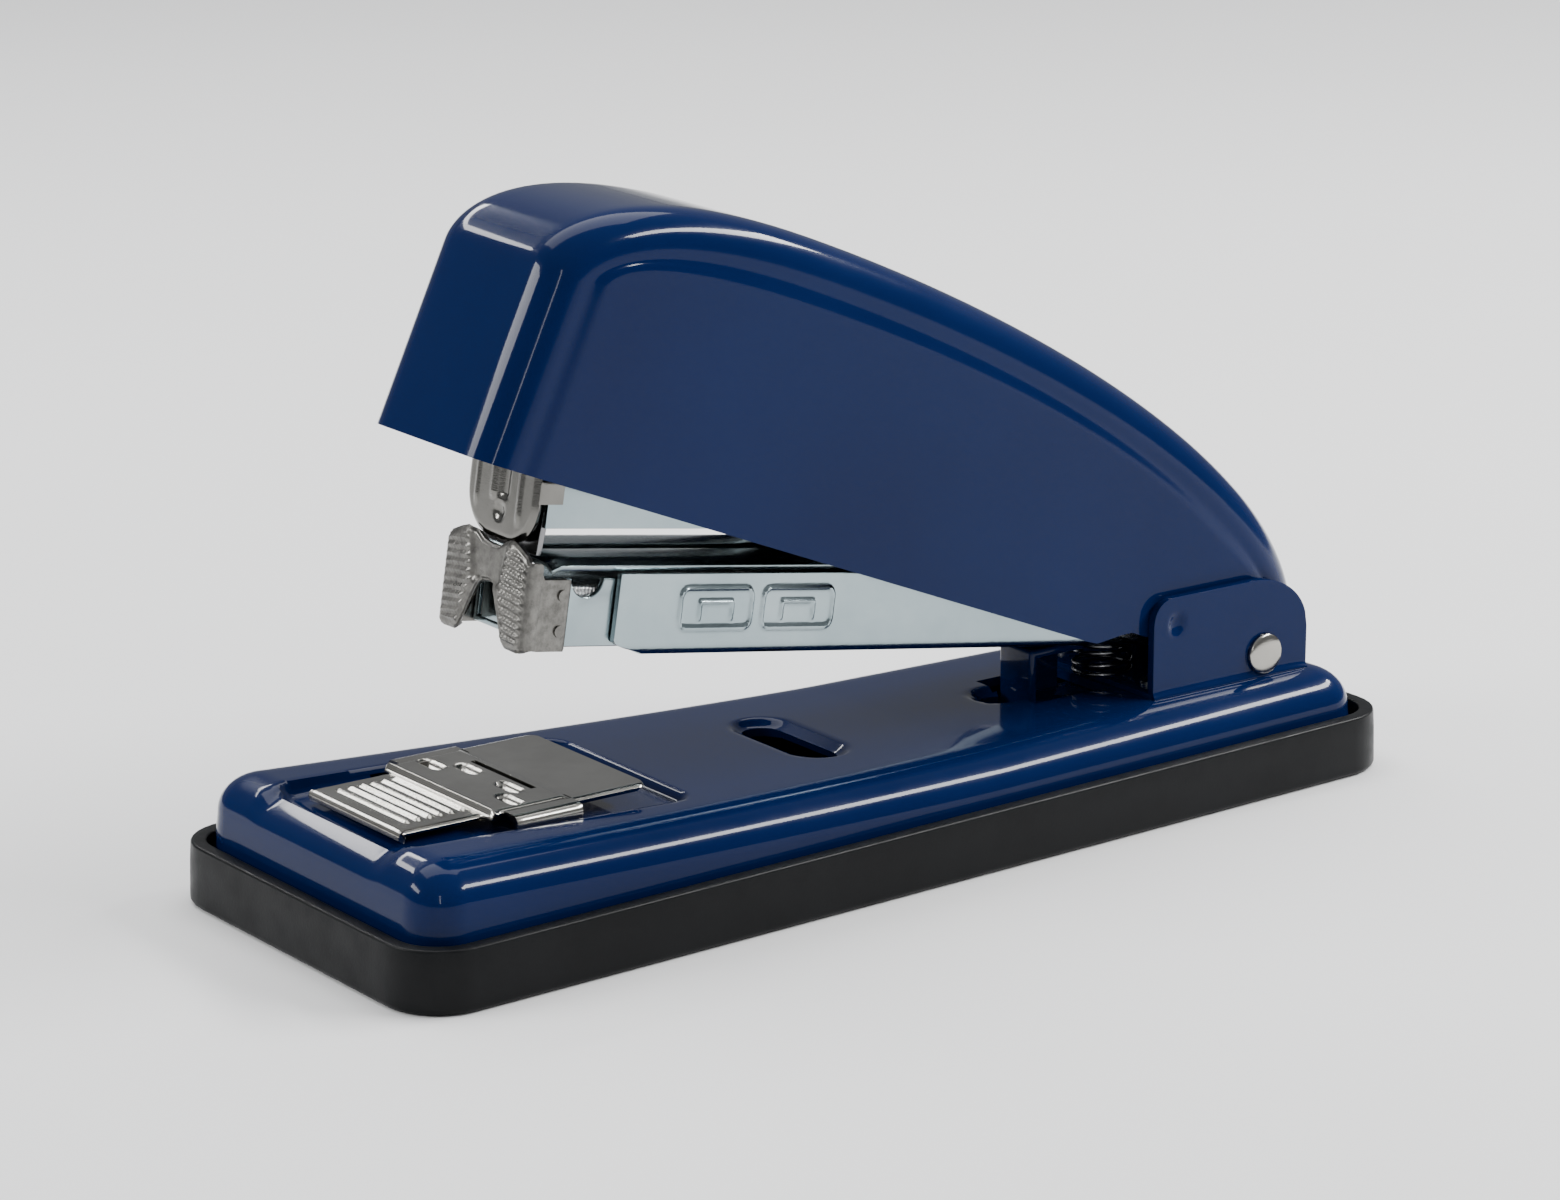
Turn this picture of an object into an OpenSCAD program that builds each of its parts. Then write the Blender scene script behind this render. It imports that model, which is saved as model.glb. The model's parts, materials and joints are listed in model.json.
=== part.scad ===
// Desk stapler with a front-loading drawer.
// Frame: X from the nose (-X) to the hinge (+X), Y across, Z up.
// The origin is the centre of the tray's underside.

/* [Base] */
// Length of the tray
tray_l = 155; // [140:1:190]
// Width of the tray at the front
tray_w = 57; // [52:1:70]
// Width lost by each long side from front to rear
tray_taper = 6.2; // [0:0.2:7]
// Height of the tray's rim
tray_h = 7.9; // [6.5:0.1:10]
// Corner radius of the tray in plan
tray_r = 7.6; // [4:0.2:11]
// Wall of the tray
tray_wall = 2.2; // [1.6:0.1:2.6]
// Distance from the tray's outside to the shell's outside
shell_inset = 3; // [2.8:0.1:4]
// Sheet thickness of the base shell
shell_t = 1.4; // [1:0.1:1.8]
// Height of the shell's top at the rear
shell_top_rear = 13.3; // [12:0.1:13.4]
// Height of the shell's top at the front edge
shell_top_front = 16.6; // [15.8:0.1:17]

/* [Hinge] */
// Distance from the tray's rear end to the hinge pin
pin_back = 16.4; // [14:0.1:20]
// Height of the hinge pin
pin_z = 16.3; // [16.2:0.1:18]
// Diameter of the hinge pin
pin_d = 3.8; // [3:0.1:4.2]
// Diameter of the pin's riveted heads
pin_head_d = 5.4; // [4.8:0.1:5.6]
// Running clearance around the pin, on the radius
pin_gap = 0.08; // [0.05:0.01:0.1]
// Length of the bracket's ears along X
ear_l = 26; // [24:0.5:28]
// Height of the bracket's ears over the shell
ear_h = 12.9; // [11:0.1:15]
// Sheet thickness of the bracket
ear_t = 1.2; // [1:0.1:1.6]

/* [Magazine] */
// Nose-up tilt of the magazine at rest
mag_tilt = 9; // [8:0.1:10]
// Distance from the pin to the driver blade's line
reach = 110.5; // [98:0.5:118]
// Inside width of the outer channel
channel_in_w = 15.6; // [15.2:0.1:17]
// Height of the outer channel
channel_h = 10; // [10:0.1:11]
// Sheet thickness of the magazine's channels
sheet_t = 0.8; // [0.6:0.05:0.9]
// Distance from the blade's line back to the channel's front end
channel_back = 10.9; // [9:0.1:14]
// Length of the drawer
drawer_l = 69; // [60:1:72]
// Sideways and vertical running gap of the drawer
slide_gap = 0.2; // [0.15:0.05:0.3]
// Length of the staple strip
strip_l = 33; // [20:1:36]
// Outside width of a staple
staple_w = 12.9; // [12.5:0.1:13]
// Height of a staple
staple_h = 6.5; // [5.5:0.1:6.8]
// Wire thickness of a staple
staple_t = 0.5; // [0.4:0.05:0.6]
// Thickness of the cast nose clip
clip_t = 1.4; // [1.2:0.1:1.6]
// Width of each of the clip's wings beside the drawer
clip_wing = 1.75; // [1.55:0.05:2.05]

/* [Handle] */
// Nose-up tilt of the handle at rest
handle_tilt = 22.3; // [21.5:0.1:23]
// Gap between the driver arm and the cover's side wall
cover_gap = 1.2; // [1:0.1:1.4]
// How much wider the cover is at the nose than at the hinge
cover_flare = 2; // [0.4:0.1:3]
// Sheet thickness of the cover
cover_t = 1; // [0.8:0.1:1.1]
// Height of the cover over its lower edge at the front
cover_h = 36.6; // [34:0.1:38]
// How far the cover reaches past the blade's line
cover_nose = 14.7; // [13:0.1:16]
// Depth of the cover's lower edge under the pin's level
cover_drop = 5.1; // [4.6:0.1:5.3]
// Travel of the handle against the magazine, in degrees
stroke = 5.5; // [5:0.1:6]

/* [Anvil] */
// Width of the anvil's grip plate
grip_w = 20; // [16:0.5:22]
// Width of the anvil over its folded tabs
anvil_w = 28.4; // [27:0.1:30]
// Sheet thickness of the anvil
anvil_t = 1; // [0.8:0.1:1.1]
// Travel of the anvil between its two positions
anvil_travel = 2.6; // [2:0.1:3]

/* [Hidden] */
$fn = 48;

eps = 0.01;
blue = "#182f55";
nickel = "#a9b1b5";
steel = "#8d8d88";
black = "#26282a";

// places that several pieces share
pin_x = tray_l / 2 - pin_back;
tray_floor = 1.6;
rest_half = 3.2;                         // half width of the stop post
sweep = 0.5;                             // magazine tilt left when it is closed
chan_half = channel_in_w / 2;            // inner face of the outer channel
chan_low = -0.1;                         // underside of the channel against the pin's level
chan_top = chan_low + channel_h;
chan_front = -reach + channel_back;
drawer_low = chan_low + sheet_t + slide_gap;
strip_low = chan_top - 0.4;              // underside of the top strip
drawer_top = strip_low - slide_gap - 0.1;
drawer_half = chan_half - slide_gap - 0.15;
drawer_front = -reach + 1.5;             // behind the blade's slot
clip_w = 2 * (drawer_half + clip_wing);
drawer_rear = drawer_front + drawer_l;
clip_back = -reach - 1;                  // rear face of the clip's front
strip_top = strip_low + sheet_t;
frame_half = chan_half - 0.6;            // outer face of the upper frame
frame_low = chan_top + 5.2;              // free lower edge of the frame at the nose
rail_half = staple_w / 2 - staple_t - 0.15;
rod_z = drawer_low + 3.9;
rod_d = 2;
pusher_front = drawer_front + strip_l;
pusher_l = 9;
arm_half = chan_half + sheet_t + 1.2;    // outer face of the driver arm
web_z = 8;                               // underside of the arm's web over the pin's level
cover_front = -reach - cover_nose;
cover_half = arm_half + cover_gap + cover_t;
cover_w = 2 * cover_half;                // at the hinge
cover_w_nose = cover_w + cover_flare;    // at the nose
heel_x = 7.9;                            // how far the cover's heel reaches behind the pin
ear_half = cover_half + 1.8;             // outer face of the bracket's ears
ear_rear = pin_x + 7.4;
ear_front = ear_rear - ear_l;
ear_top = shell_top_rear + ear_h;
post_x = pin_x - 25.6;                   // middle of the stop post
lift_x = pin_x - 15.6;                   // axis of the lift spring
recess_rear = pin_x - reach + 20;        // rear end of the anvil's recess
recess_half = anvil_w / 2 + 1;
anvil_x = pin_x - reach;                 // under the blade
recess_z = shell_top_front - 2;          // floor of the recess
tab_half = anvil_w / 2;                  // outer face of the anvil's tabs
tab_front = anvil_x - 5.2;
tab_rear = anvil_x + 4;
tab_low = recess_z - shell_t - 1;        // lower end of the tabs, under the shell

// Plan of the tray moved in by d: straight tapering sides and round corners
function plan(d, n = 8) =
    let (hf = tray_w / 2 - d, hr = tray_w / 2 - tray_taper - d, e = tray_l / 2 - d,
         r = max(1.5, tray_r - d))
    [for (c = [[1, 1, 0, hr], [-1, 1, 90, hf], [-1, -1, 180, hf], [1, -1, 270, hr]])
        for (k = [0:n])
            [c[0] * (e - r) + r * cos(c[2] + 90 * k / n),
             c[1] * (c[3] - r) + r * sin(c[2] + 90 * k / n)]];

// Height of the shell's top at x: level at the rear, rising in a smooth curve to the front
function shell_top(x) =
    let (u = max(0, min(1, (12 - x) / (tray_l / 2 - shell_inset + 12))))
    shell_top_rear + (shell_top_front - shell_top_rear) * pow(u, 1.3);

// A point on a cubic curve through four control points
function bez(p, t) = pow(1 - t, 3) * p[0] + 3 * t * pow(1 - t, 2) * p[1]
    + 3 * t * t * (1 - t) * p[2] + pow(t, 3) * p[3];

// Side outline of the cover in the handle's frame, moved in by d
function cover_side(d, n = 10) =
    let (f = cover_front + d, lo = -cover_drop, hi = cover_h - cover_drop - d, m = 0.35 * d,
         joint = [-9.8 - m, hi - 11.9],
         nose = [[f, hi - 13.3], [f + 0.5, hi - 7.9], [f + 8.7, hi], [f + 37, hi]],
         back = [[f + 37, hi], [f + 63, hi], [-29.8 - m, hi - 3.4], joint],
         heel = [joint, [-3.6 - m, hi - 14.4], [heel_x - 0.3 - d, 11], [heel_x - d, 1.6]])
    concat([[f - (d > 0 ? 0 : 1.2), lo - (d > 0 ? 2 : 0)]],
        [for (c = [nose, back, heel]) for (k = [0:n - 1]) bez(c, k / n)],
        d > 0 ? [[heel_x - d, 1.6], [heel_x - d, -9]]
              : [[heel_x, 1.6], [4.7, -0.6], [0, -2.6], [-22, -2.4], [-27, lo]]);

// Plan of the cover moved in by d: wider at the nose, with round front corners
function cover_plan(d, r = 4.5, n = 6) =
    let (f = cover_front - 1.2 + d, w = cover_w_nose / 2 - d, q = cover_w / 2 - d, e = r - d)
    concat([for (k = [0:n]) [f + e - e * sin(90 * k / n), w - e + e * cos(90 * k / n)]],
        [for (k = [0:n]) [f + e - e * cos(90 * k / n), -w + e - e * sin(90 * k / n)]],
        [[-25, -q], [20, -q], [20, q], [-25, q]]);

module in_magazine() {
    translate([pin_x, 0, pin_z]) rotate([0, mag_tilt, 0]) children();
}

module in_handle() {
    translate([pin_x, 0, pin_z]) rotate([0, handle_tilt, 0]) children();
}

// A plate cut to a side outline in XZ, from y = a to y = b
module plate(points, a, b) {
    translate([0, b, 0]) rotate([90, 0, 0]) linear_extrude(b - a) polygon(points);
}

// A box from its low corner to its high corner
module span(a, b) {
    translate(a) cube(b - a);
}

// A pin or bore across the object, from y = a to y = b
module cross(x, z, d, a, b) {
    translate([x, b, z]) rotate([90, 0, 0]) cylinder(d = d, h = b - a);
}

module both_sides() {
    children();
    mirror([0, 1, 0]) children();
}

// A coil spring: a round wire swept up a helix, with closed flat ends
module coil(d, wire, len, turns, sides = 8, per_turn = 14) {
    n = turns * per_turn;
    r = (d - wire) / 2;
    rise = len - wire;
    rings = [for (i = [0:n])
        let (a = 360 * i / per_turn, u = i / n, z = wire / 2 + rise * (u - sin(360 * u) / 9))
        [for (k = [0:sides - 1])
            let (q = r + wire / 2 * cos(360 * k / sides))
            [q * cos(a), q * sin(a), z + wire / 2 * sin(360 * k / sides)]]];
    points = [for (ring = rings) for (p = ring) p];
    faces = concat(
        [[for (k = [0:sides - 1]) k]],
        [for (i = [0:n - 1]) for (k = [0:sides - 1])
            [i * sides + k, (i + 1) * sides + k, (i + 1) * sides + (k + 1) % sides,
             i * sides + (k + 1) % sides]],
        [[for (k = [sides - 1:-1:0]) n * sides + k]]);
    polyhedron(points, faces, convexity = 10);
}

// ---- base ----

tray_screw_x = [-56, 34];
tray_screw_y = 13;

module tray() {
    color(black) difference() {
        union() {
            linear_extrude(0.8) polygon(plan(0.6));
            translate([0, 0, 0.8]) linear_extrude(tray_h - 0.8) polygon(plan(0));
        }
        translate([0, 0, tray_floor]) linear_extrude(tray_h) polygon(plan(tray_wall));
        for (x = tray_screw_x) for (s = [-1, 1])
            translate([x, s * tray_screw_y, -eps]) cylinder(d = 3, h = 3);
    }
}

slot_x = pin_x - 66;                     // slot across the middle of the shell
tab_gap = 0.25;                          // clearance round the anvil's tabs
module base_shell() {
    inner = [for (x = [-90:10:90]) [x, shell_top(x) - shell_t]];
    outer = [for (x = [-90:10:90]) [x, shell_top(x)]];
    color(blue) difference() {
        union() {
            difference() {
                intersection() {
                    translate([0, 0, tray_floor]) linear_extrude(20) polygon(plan(shell_inset));
                    plate(concat(outer, [[90, 0], [-90, 0]]), -40, 40);
                }
                intersection() {
                    linear_extrude(20) polygon(plan(shell_inset + shell_t));
                    plate(concat(inner, [[90, -5], [-90, -5]]), -40, 40);
                }
            }
            // the recess is pressed down through the sheet
            span([-tray_l / 2 + shell_inset + shell_t, -recess_half - shell_t, recess_z - shell_t],
                 [recess_rear + shell_t, recess_half + shell_t, shell_top(recess_rear) - 0.3]);
            for (x = tray_screw_x) for (s = [-1, 1])
                translate([x, s * tray_screw_y, tray_floor])
                    cylinder(d = 7, h = shell_top(x) - shell_t - tray_floor + 0.3);
        }
        span([-tray_l / 2 + shell_inset + 4, -recess_half, recess_z], [recess_rear, recess_half, 20]);
        // the recess opens through the front edge over a narrower width
        span([-90, -10, recess_z + 1], [-tray_l / 2 + 12, 10, 20]);
        translate([slot_x, 0, 5]) linear_extrude(20) slot_plan(15.5, 4.6);
        translate([slot_x + 33, 0, 5]) cylinder(d = 4.4, h = 20);
        span([post_x - 5.8, -6, 9], [post_x + 6.2, 6, 20]);
        for (x = tray_screw_x) for (s = [-1, 1])
            translate([x, s * tray_screw_y, tray_floor - eps]) cylinder(d = 2.4, h = 6);
        for (x = bracket_rivet_x) for (s = [-1, 1])
            translate([x, s * bracket_rivet_y, 9]) cylinder(d = 2.6, h = 9);
        // slots for the anvil's tabs, as long as the tabs and their travel
        both_sides() span([tab_front - 2.4, tab_half - anvil_t - tab_gap, 9],
            [tab_rear + anvil_travel + tab_gap, tab_half + tab_gap, 20]);
    }
}

// A slot with round ends, long in Y
module slot_plan(l, w) {
    square([w, l - w], center = true);
    for (s = [-1, 1]) translate([0, s * (l - w) / 2]) circle(d = w);
}

module tray_screws() {
    color(steel) for (x = tray_screw_x) for (s = [-1, 1])
        translate([x, s * tray_screw_y, 0.3]) {
            cylinder(d = 2.4, h = 6.4);
            difference() {
                cylinder(d1 = 2.9, d2 = 2.4, h = 1.2);
                translate([0, 0, -eps]) cylinder(d = 1.3, h = 0.7, $fn = 6);
            }
        }
}

grip_front = anvil_x - 18.9;             // front edge of the grip plate
ridge_x = anvil_x - 6.9;                 // step between the grip plate and the middle
plate_rear = recess_rear - 3 - anvil_travel;
grip_z = recess_z + 0.9;                 // undersides of the anvil's three levels
middle_z = recess_z + 1.4;
plate_z = recess_z + 1.2;
rib_pitch = 1.55;
// Sheet anvil: ribbed grip plate, raised middle with the clinch pockets, rear plate and two
// tabs folded down through the shell
module anvil_plate() {
    color(nickel) difference() {
        union() {
            span([grip_front, -grip_w / 2, grip_z], [ridge_x, grip_w / 2, grip_z + anvil_t]);
            for (k = [0:5])
                cross(grip_front + 2.9 + rib_pitch * k, grip_z + anvil_t - 0.1, 0.8,
                    -grip_w / 2 + 2, grip_w / 2 - 2);
            cross(grip_front + 0.3, grip_z + anvil_t / 2, anvil_t + 0.3, -grip_w / 2, grip_w / 2);
            span([ridge_x - 0.4, -grip_w / 2 - 1.8, grip_z], [ridge_x + 0.6, grip_w / 2 + 1.8, middle_z + anvil_t]);
            span([ridge_x, -grip_w / 2 - 1.4, middle_z], [anvil_x + 3, grip_w / 2 + 1.4, middle_z + anvil_t]);
            span([anvil_x + 2.9, -tab_half + 1.8, plate_z], [plate_rear, tab_half - 1.8, plate_z + anvil_t]);
            both_sides() {
                span([tab_front, grip_w / 2, plate_z], [tab_rear, tab_half, plate_z + anvil_t]);
                span([tab_front, tab_half - anvil_t, tab_low], [tab_rear, tab_half, plate_z + anvil_t]);
            }
        }
        // clinch pockets: legs bent inwards under the blade, outwards in front of it
        for (s = [-1, 1]) {
            cross(anvil_x, middle_z + anvil_t + 0.35, 1.9, s * 4.4 - 2.2, s * 4.4 + 2.2);
            cross(anvil_x - anvil_travel, middle_z + anvil_t + 0.35, 1.9, s * 8.2 - 2.2, s * 8.2 + 2.2);
        }
        // slot across, behind the pockets
        span([anvil_x + 1.7, -6.6, plate_z - 1], [anvil_x + 2.5, 6.6, plate_z + 3]);
    }
}

// Leaf under the shell that joins the tabs and keeps the anvil on its seat
module anvil_spring() {
    color(steel) translate([0, 0, tab_low - spring_t])
        span([tab_front + 2.6, -tab_half, 0], [tab_rear - 1, tab_half, spring_t]);
}

spring_t = 0.5;
bracket_rivet_x = [ear_front + 4, ear_rear - 14];
bracket_rivet_y = 9.6;
// U-shaped bracket: two ears joined by a floor that is riveted to the shell
module hinge_bracket() {
    z0 = shell_top_rear;
    ear = concat([[ear_front, z0]],
        [for (k = [0:6]) [ear_front + 3 - 3 * cos(15 * k), ear_top - 3 + 3 * sin(15 * k)]],
        [for (k = [0:8]) bez([[pin_x - 2, ear_top + 0.1], [pin_x + 3, ear_top],
            [ear_rear, ear_top - 3], [ear_rear, z0 + 5.5]], k / 8)],
        [[ear_rear, z0]]);
    color(blue) difference() {
        union() {
            both_sides() plate(ear, ear_half - ear_t, ear_half);
            span([ear_front, -ear_half, z0], [ear_rear - 11.5, ear_half, z0 + 0.6]);
        }
        cross(pin_x, pin_z, pin_d, -ear_half - 1, ear_half + 1);
        for (x = bracket_rivet_x) for (s = [-1, 1])
            translate([x, s * bracket_rivet_y, z0 - 1]) cylinder(d = 2.6, h = 4);
        translate([lift_x, 0, z0 - 1]) cylinder(d = 10, h = 4);
    }
}

module bracket_rivets() {
    z0 = shell_top_rear;
    color(steel) for (x = bracket_rivet_x) for (s = [-1, 1])
        translate([x, s * bracket_rivet_y, 0]) {
            translate([0, 0, z0 - shell_t]) cylinder(d = 2.6, h = shell_t + 0.6);
            translate([0, 0, z0 + 0.6]) cylinder(d = 4, h = 0.5);
            translate([0, 0, z0 - shell_t - 0.5]) cylinder(d = 4, h = 0.5);
        }
}

module hinge_pin() {
    color(nickel) {
        cross(pin_x, pin_z, pin_d, -ear_half, ear_half);
        both_sides() cross(pin_x, pin_z, pin_head_d, ear_half, ear_half + 1);
    }
}

// Lug that stands in the shell's opening under the magazine
module stop_post() {
    top = pin_z + 2.9;
    color(blue) difference() {
        span([post_x - 4.5, -rest_half, shell_top_rear - shell_t - 1.2],
             [post_x + 4.5, rest_half, top]);
        span([post_x - 3.3, -rest_half - 1, shell_top_rear - shell_t - 2],
             [post_x + 6, rest_half - 1.2, top - 1.2]);
    }
    color(blue) span([post_x - 4.5, -rest_half, shell_top_rear - shell_t - 1.2],
        [post_x + 8, rest_half, shell_top_rear - shell_t]);
}

module lift_spring() {
    color(steel) translate([lift_x, 0, shell_top_rear])
        coil(8, 0.6, 4.8, 4);
}

// ---- magazine ----

module outer_channel() {
    side = concat(
        [[chan_front, chan_top], [chan_front, chan_low + 1.4], [chan_front + 1, chan_low + 0.5],
         [chan_front + 4.8, chan_low]],
        [[-6, chan_low]],
        [for (k = [1:8]) [2.7 * cos(180 + 22.5 * k), 2.7 * sin(180 + 22.5 * k)]],
        [[2.7, 5], [0, chan_top - 1], [-3, chan_top]]);
    color(nickel) in_magazine() difference() {
        union() {
            both_sides() plate(side, chan_half, chan_half + sheet_t);
            span([chan_front + 4.8, -chan_half - eps, chan_low], [-8, chan_half + eps, chan_low + sheet_t]);
        }
        cross(0, 0, pin_d + 2 * pin_gap, -20, 20);
        // window over the stop post
        span([-33, -rest_half - 1.2, chan_low - 1], [-20.4, rest_half + 1.2, chan_low + 2]);
    }
}

strip_rear = drawer_rear + 0.5;
frame_rivet_x = [-51, -45];
module top_strip() {
    color(nickel) in_magazine() difference() {
        union() {
            span([drawer_front, -chan_half, strip_low], [strip_rear, chan_half, strip_top]);
            // lengthwise bead pressed up in the strip
            span([drawer_front + 3, -1.6, strip_top - eps], [-70, 1.6, strip_top + 0.5]);
        }
        for (x = frame_rivet_x) for (s = [-1, 1])
            translate([x, s * 4, strip_low - 1]) cylinder(d = 2, h = 4);
    }
}

// Two side plates joined by a foot web that is riveted to the top strip
module upper_frame() {
    front = -reach + 0.1;
    front_h = frame_low + 6.78;
    rear_h = strip_top + 1.89;
    top = function (x) front_h + (rear_h - front_h) * (x - front) / (strip_rear - front);
    side = concat([[front, frame_low], [front, top(front)], [-30, top(-30)], [-8, 6.5]],
        [for (k = [0:6]) [2.6 * cos(60 - 30 * k), 2.6 * sin(60 - 30 * k)]],
        [[-7, 0.9], [strip_rear + 2, 2], [strip_rear + 0.5, strip_top], [-64, strip_top],
         [-68, strip_top + 1], [-72, frame_low - 1.2], [-76, frame_low]]);
    color(nickel) in_magazine() difference() {
        union() {
            both_sides() plate(side, frame_half - sheet_t, frame_half);
            span([-64, -frame_half, strip_top], [strip_rear - 2, frame_half, strip_top + sheet_t]);
        }
        cross(0, 0, pin_d + 2 * pin_gap, -20, 20);
        for (x = frame_rivet_x) for (s = [-1, 1])
            translate([x, s * 4, strip_top - 1]) cylinder(d = 2, h = 4);
    }
}

// Front plate that guides the blade: round lower end, two ribs, a slot and a hole
module front_plate() {
    half = frame_half + 0.1;
    r = 5;
    low = chan_top + 2.5;
    high = frame_low + 6.2;
    x0 = clip_back - sheet_t;
    color(nickel) in_magazine() {
        difference() {
            translate([x0, 0, 0]) rotate([90, 0, 90]) linear_extrude(sheet_t) polygon(concat(
                [[-half, high]],
                [for (k = [0:6]) [-half + r - r * cos(15 * k), low + r - r * sin(15 * k)]],
                [for (k = [6:-1:0]) [half - r + r * cos(15 * k), low + r - r * sin(15 * k)]],
                [[half, high]]));
            span([x0 - 1, -0.5, low + 5.5], [x0 + 2, 0.5, high + 1]);
            translate([x0 - 1, 0, low + 3.6]) rotate([0, 90, 0]) cylinder(d = 1.7, h = 4);
        }
        for (s = [-1, 1])
            span([x0 - 0.4, s * 1.3 - 0.4, low + 5], [x0 + eps, s * 1.3 + 0.4, high]);
        both_sides() span([x0, frame_half, low + r], [-reach + 2, frame_half + 0.7, high - 0.6]);
    }
}

module frame_rivets() {
    color(steel) in_magazine() for (x = frame_rivet_x) for (s = [-1, 1])
        translate([x, s * 4, strip_low]) {
            cylinder(d = 2, h = strip_top - strip_low + sheet_t);
            translate([0, 0, strip_top - strip_low + sheet_t]) cylinder(d = 3.4, h = 0.6);
        }
}

spring_x = -60;
module handle_spring() {
    gap = web_z * cos(handle_tilt - mag_tilt) - spring_x * sin(handle_tilt - mag_tilt);
    color(steel) in_magazine() translate([spring_x, 0, strip_top + sheet_t])
        coil(8, 0.8, gap - strip_top - sheet_t - 1.6, 5);
}

// ---- drawer ----

// U-shaped drawer that slides out through the front, with a half-round notch in each wall
module drawer() {
    color(nickel) in_magazine() difference() {
        span([drawer_front, -drawer_half, drawer_low], [drawer_rear, drawer_half, drawer_top]);
        span([drawer_front - 1, -drawer_half + sheet_t, drawer_low + sheet_t],
             [drawer_rear - sheet_t, drawer_half - sheet_t, drawer_top + 1]);
        cross(drawer_front + 5.4, drawer_top, 4.6, -20, 20);
        translate([drawer_rear - 3, 0, rod_z]) rotate([0, 90, 0]) cylinder(d = rod_d, h = 5);
    }
}

rail_low = drawer_low + sheet_t;
rail_top = rail_low + staple_h - staple_t - 0.1;
// Inverted channel that the staples straddle, slotted along its top for the pusher
module core_rail() {
    x0 = drawer_front;
    x1 = drawer_rear - sheet_t - 1;
    color(nickel) in_magazine() difference() {
        span([x0, -rail_half, rail_low], [x1, rail_half, rail_top]);
        span([x0 + 1, -rail_half + sheet_t, rail_low - 1], [x1 + 1, rail_half - sheet_t, rail_top - sheet_t]);
        span([x0 + 4, -1, rail_low - 1], [x1 + 1, 1, rail_top + 1]);
        translate([x0 - 1, 0, rod_z]) rotate([0, 90, 0]) cylinder(d = rod_d, h = 5);
    }
}

// Cast clip across the nose: two legs that meet in an X, with wings along the drawer
module nose_clip() {
    h0 = chan_low + 0.4;
    h1 = chan_top + 1.5;
    half = clip_w / 2;
    mid = (h0 + h1) / 2;
    color(nickel) in_magazine() difference() {
        union() {
            translate([clip_back - clip_t, 0, 0]) rotate([90, 0, 90]) linear_extrude(clip_t) polygon([
                [-half + 0.8, h0 + 0.4], [-half + 3.4, h0], [-1.4, mid], [0, mid + 0.6], [1.4, mid],
                [half - 3.4, h0], [half - 0.8, h0 + 0.4], [half, h0 + 1.6], [half, h1 - 1.2],
                [half - 0.8, h1 - 0.4], [half - 3.6, h1], [1.8, mid + 3], [-1.8, mid + 3],
                [-half + 3.6, h1], [-half + 0.8, h1 - 0.4], [-half, h1 - 1.2], [-half, h0 + 1.6]]);
            both_sides() span([clip_back - 0.2, drawer_half, h0 + 0.8],
                [drawer_front + 2.4, half, strip_low - slide_gap]);
            // knurled legs
            for (s = [-1, 1]) for (k = [0:6])
                translate([clip_back - clip_t, s * (half - 2.2), h0 + 1.8 + 1.2 * k])
                    rotate([90, 0, 0]) cylinder(d = 0.6, h = 2.6, center = true);
        }
        for (z = clip_rivet_z) cross(drawer_front + 1.2, z, 1.4, -20, 20);
    }
}

clip_rivet_z = [drawer_low + 2.2, drawer_top - 1.8];
module clip_rivets() {
    color(steel) in_magazine() both_sides() for (z = clip_rivet_z)
        cross(drawer_front + 1.2, z, 1.4, drawer_half, clip_w / 2 - 0.3);
}

module guide_rod() {
    color(steel) in_magazine() translate([drawer_front + eps, 0, rod_z]) rotate([0, 90, 0])
        cylinder(d = rod_d, h = drawer_l);
}

module staple_strip() {
    x0 = drawer_front + 0.2;
    low = rail_low + 0.1;
    color("#c9cdd0") in_magazine() difference() {
        span([x0, -staple_w / 2, low], [x0 + strip_l - 0.4, staple_w / 2, low + staple_h]);
        span([x0 - 1, -staple_w / 2 + staple_t, low - 1],
             [x0 + strip_l, staple_w / 2 - staple_t, low + staple_h - staple_t]);
    }
}

// Pusher: a saddle over the rail, joined through the slot to a block on the guide rod
module pusher() {
    x0 = pusher_front;
    color(steel) in_magazine() difference() {
        union() {
            difference() {
                span([x0, -staple_w / 2, rail_low + 0.3], [x0 + pusher_l, staple_w / 2, rail_top + 0.8]);
                span([x0 - 1, -rail_half - 0.15, rail_low - 1],
                     [x0 + pusher_l + 1, rail_half + 0.15, rail_top + 0.15]);
            }
            span([x0 + 1, -0.8, rod_z], [x0 + pusher_l, 0.8, rail_top + 0.5]);
            span([x0 + 1, -3.6, rail_low + 0.8], [x0 + pusher_l, 3.6, rail_top - sheet_t - 0.3]);
        }
        translate([x0 - 1, 0, rod_z]) rotate([0, 90, 0]) cylinder(d = rod_d + 0.3, h = pusher_l + 2);
    }
}

module pusher_spring() {
    x0 = pusher_front + pusher_l;
    color(steel) in_magazine() translate([x0 + 0.1, 0, rod_z]) rotate([0, 90, 0])
        coil(4.2, 0.5, drawer_rear - sheet_t - x0 - 0.2, 14, 6, 12);
}

// ---- handle ----

// Pressed cover: two side walls, a nose and a roof, open underneath
module handle_cover() {
    wide = cover_w_nose;
    color(blue) in_handle() difference() {
        intersection() {
            plate(cover_side(0), -wide, wide);
            translate([0, 0, -20]) linear_extrude(80) polygon(cover_plan(0));
        }
        intersection() {
            plate(cover_side(cover_t), -wide, wide);
            translate([0, 0, -20]) linear_extrude(80) polygon(cover_plan(cover_t));
        }
        cross(0, 0, pin_d + 2 * pin_gap, -20, 20);
    }
}

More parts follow.
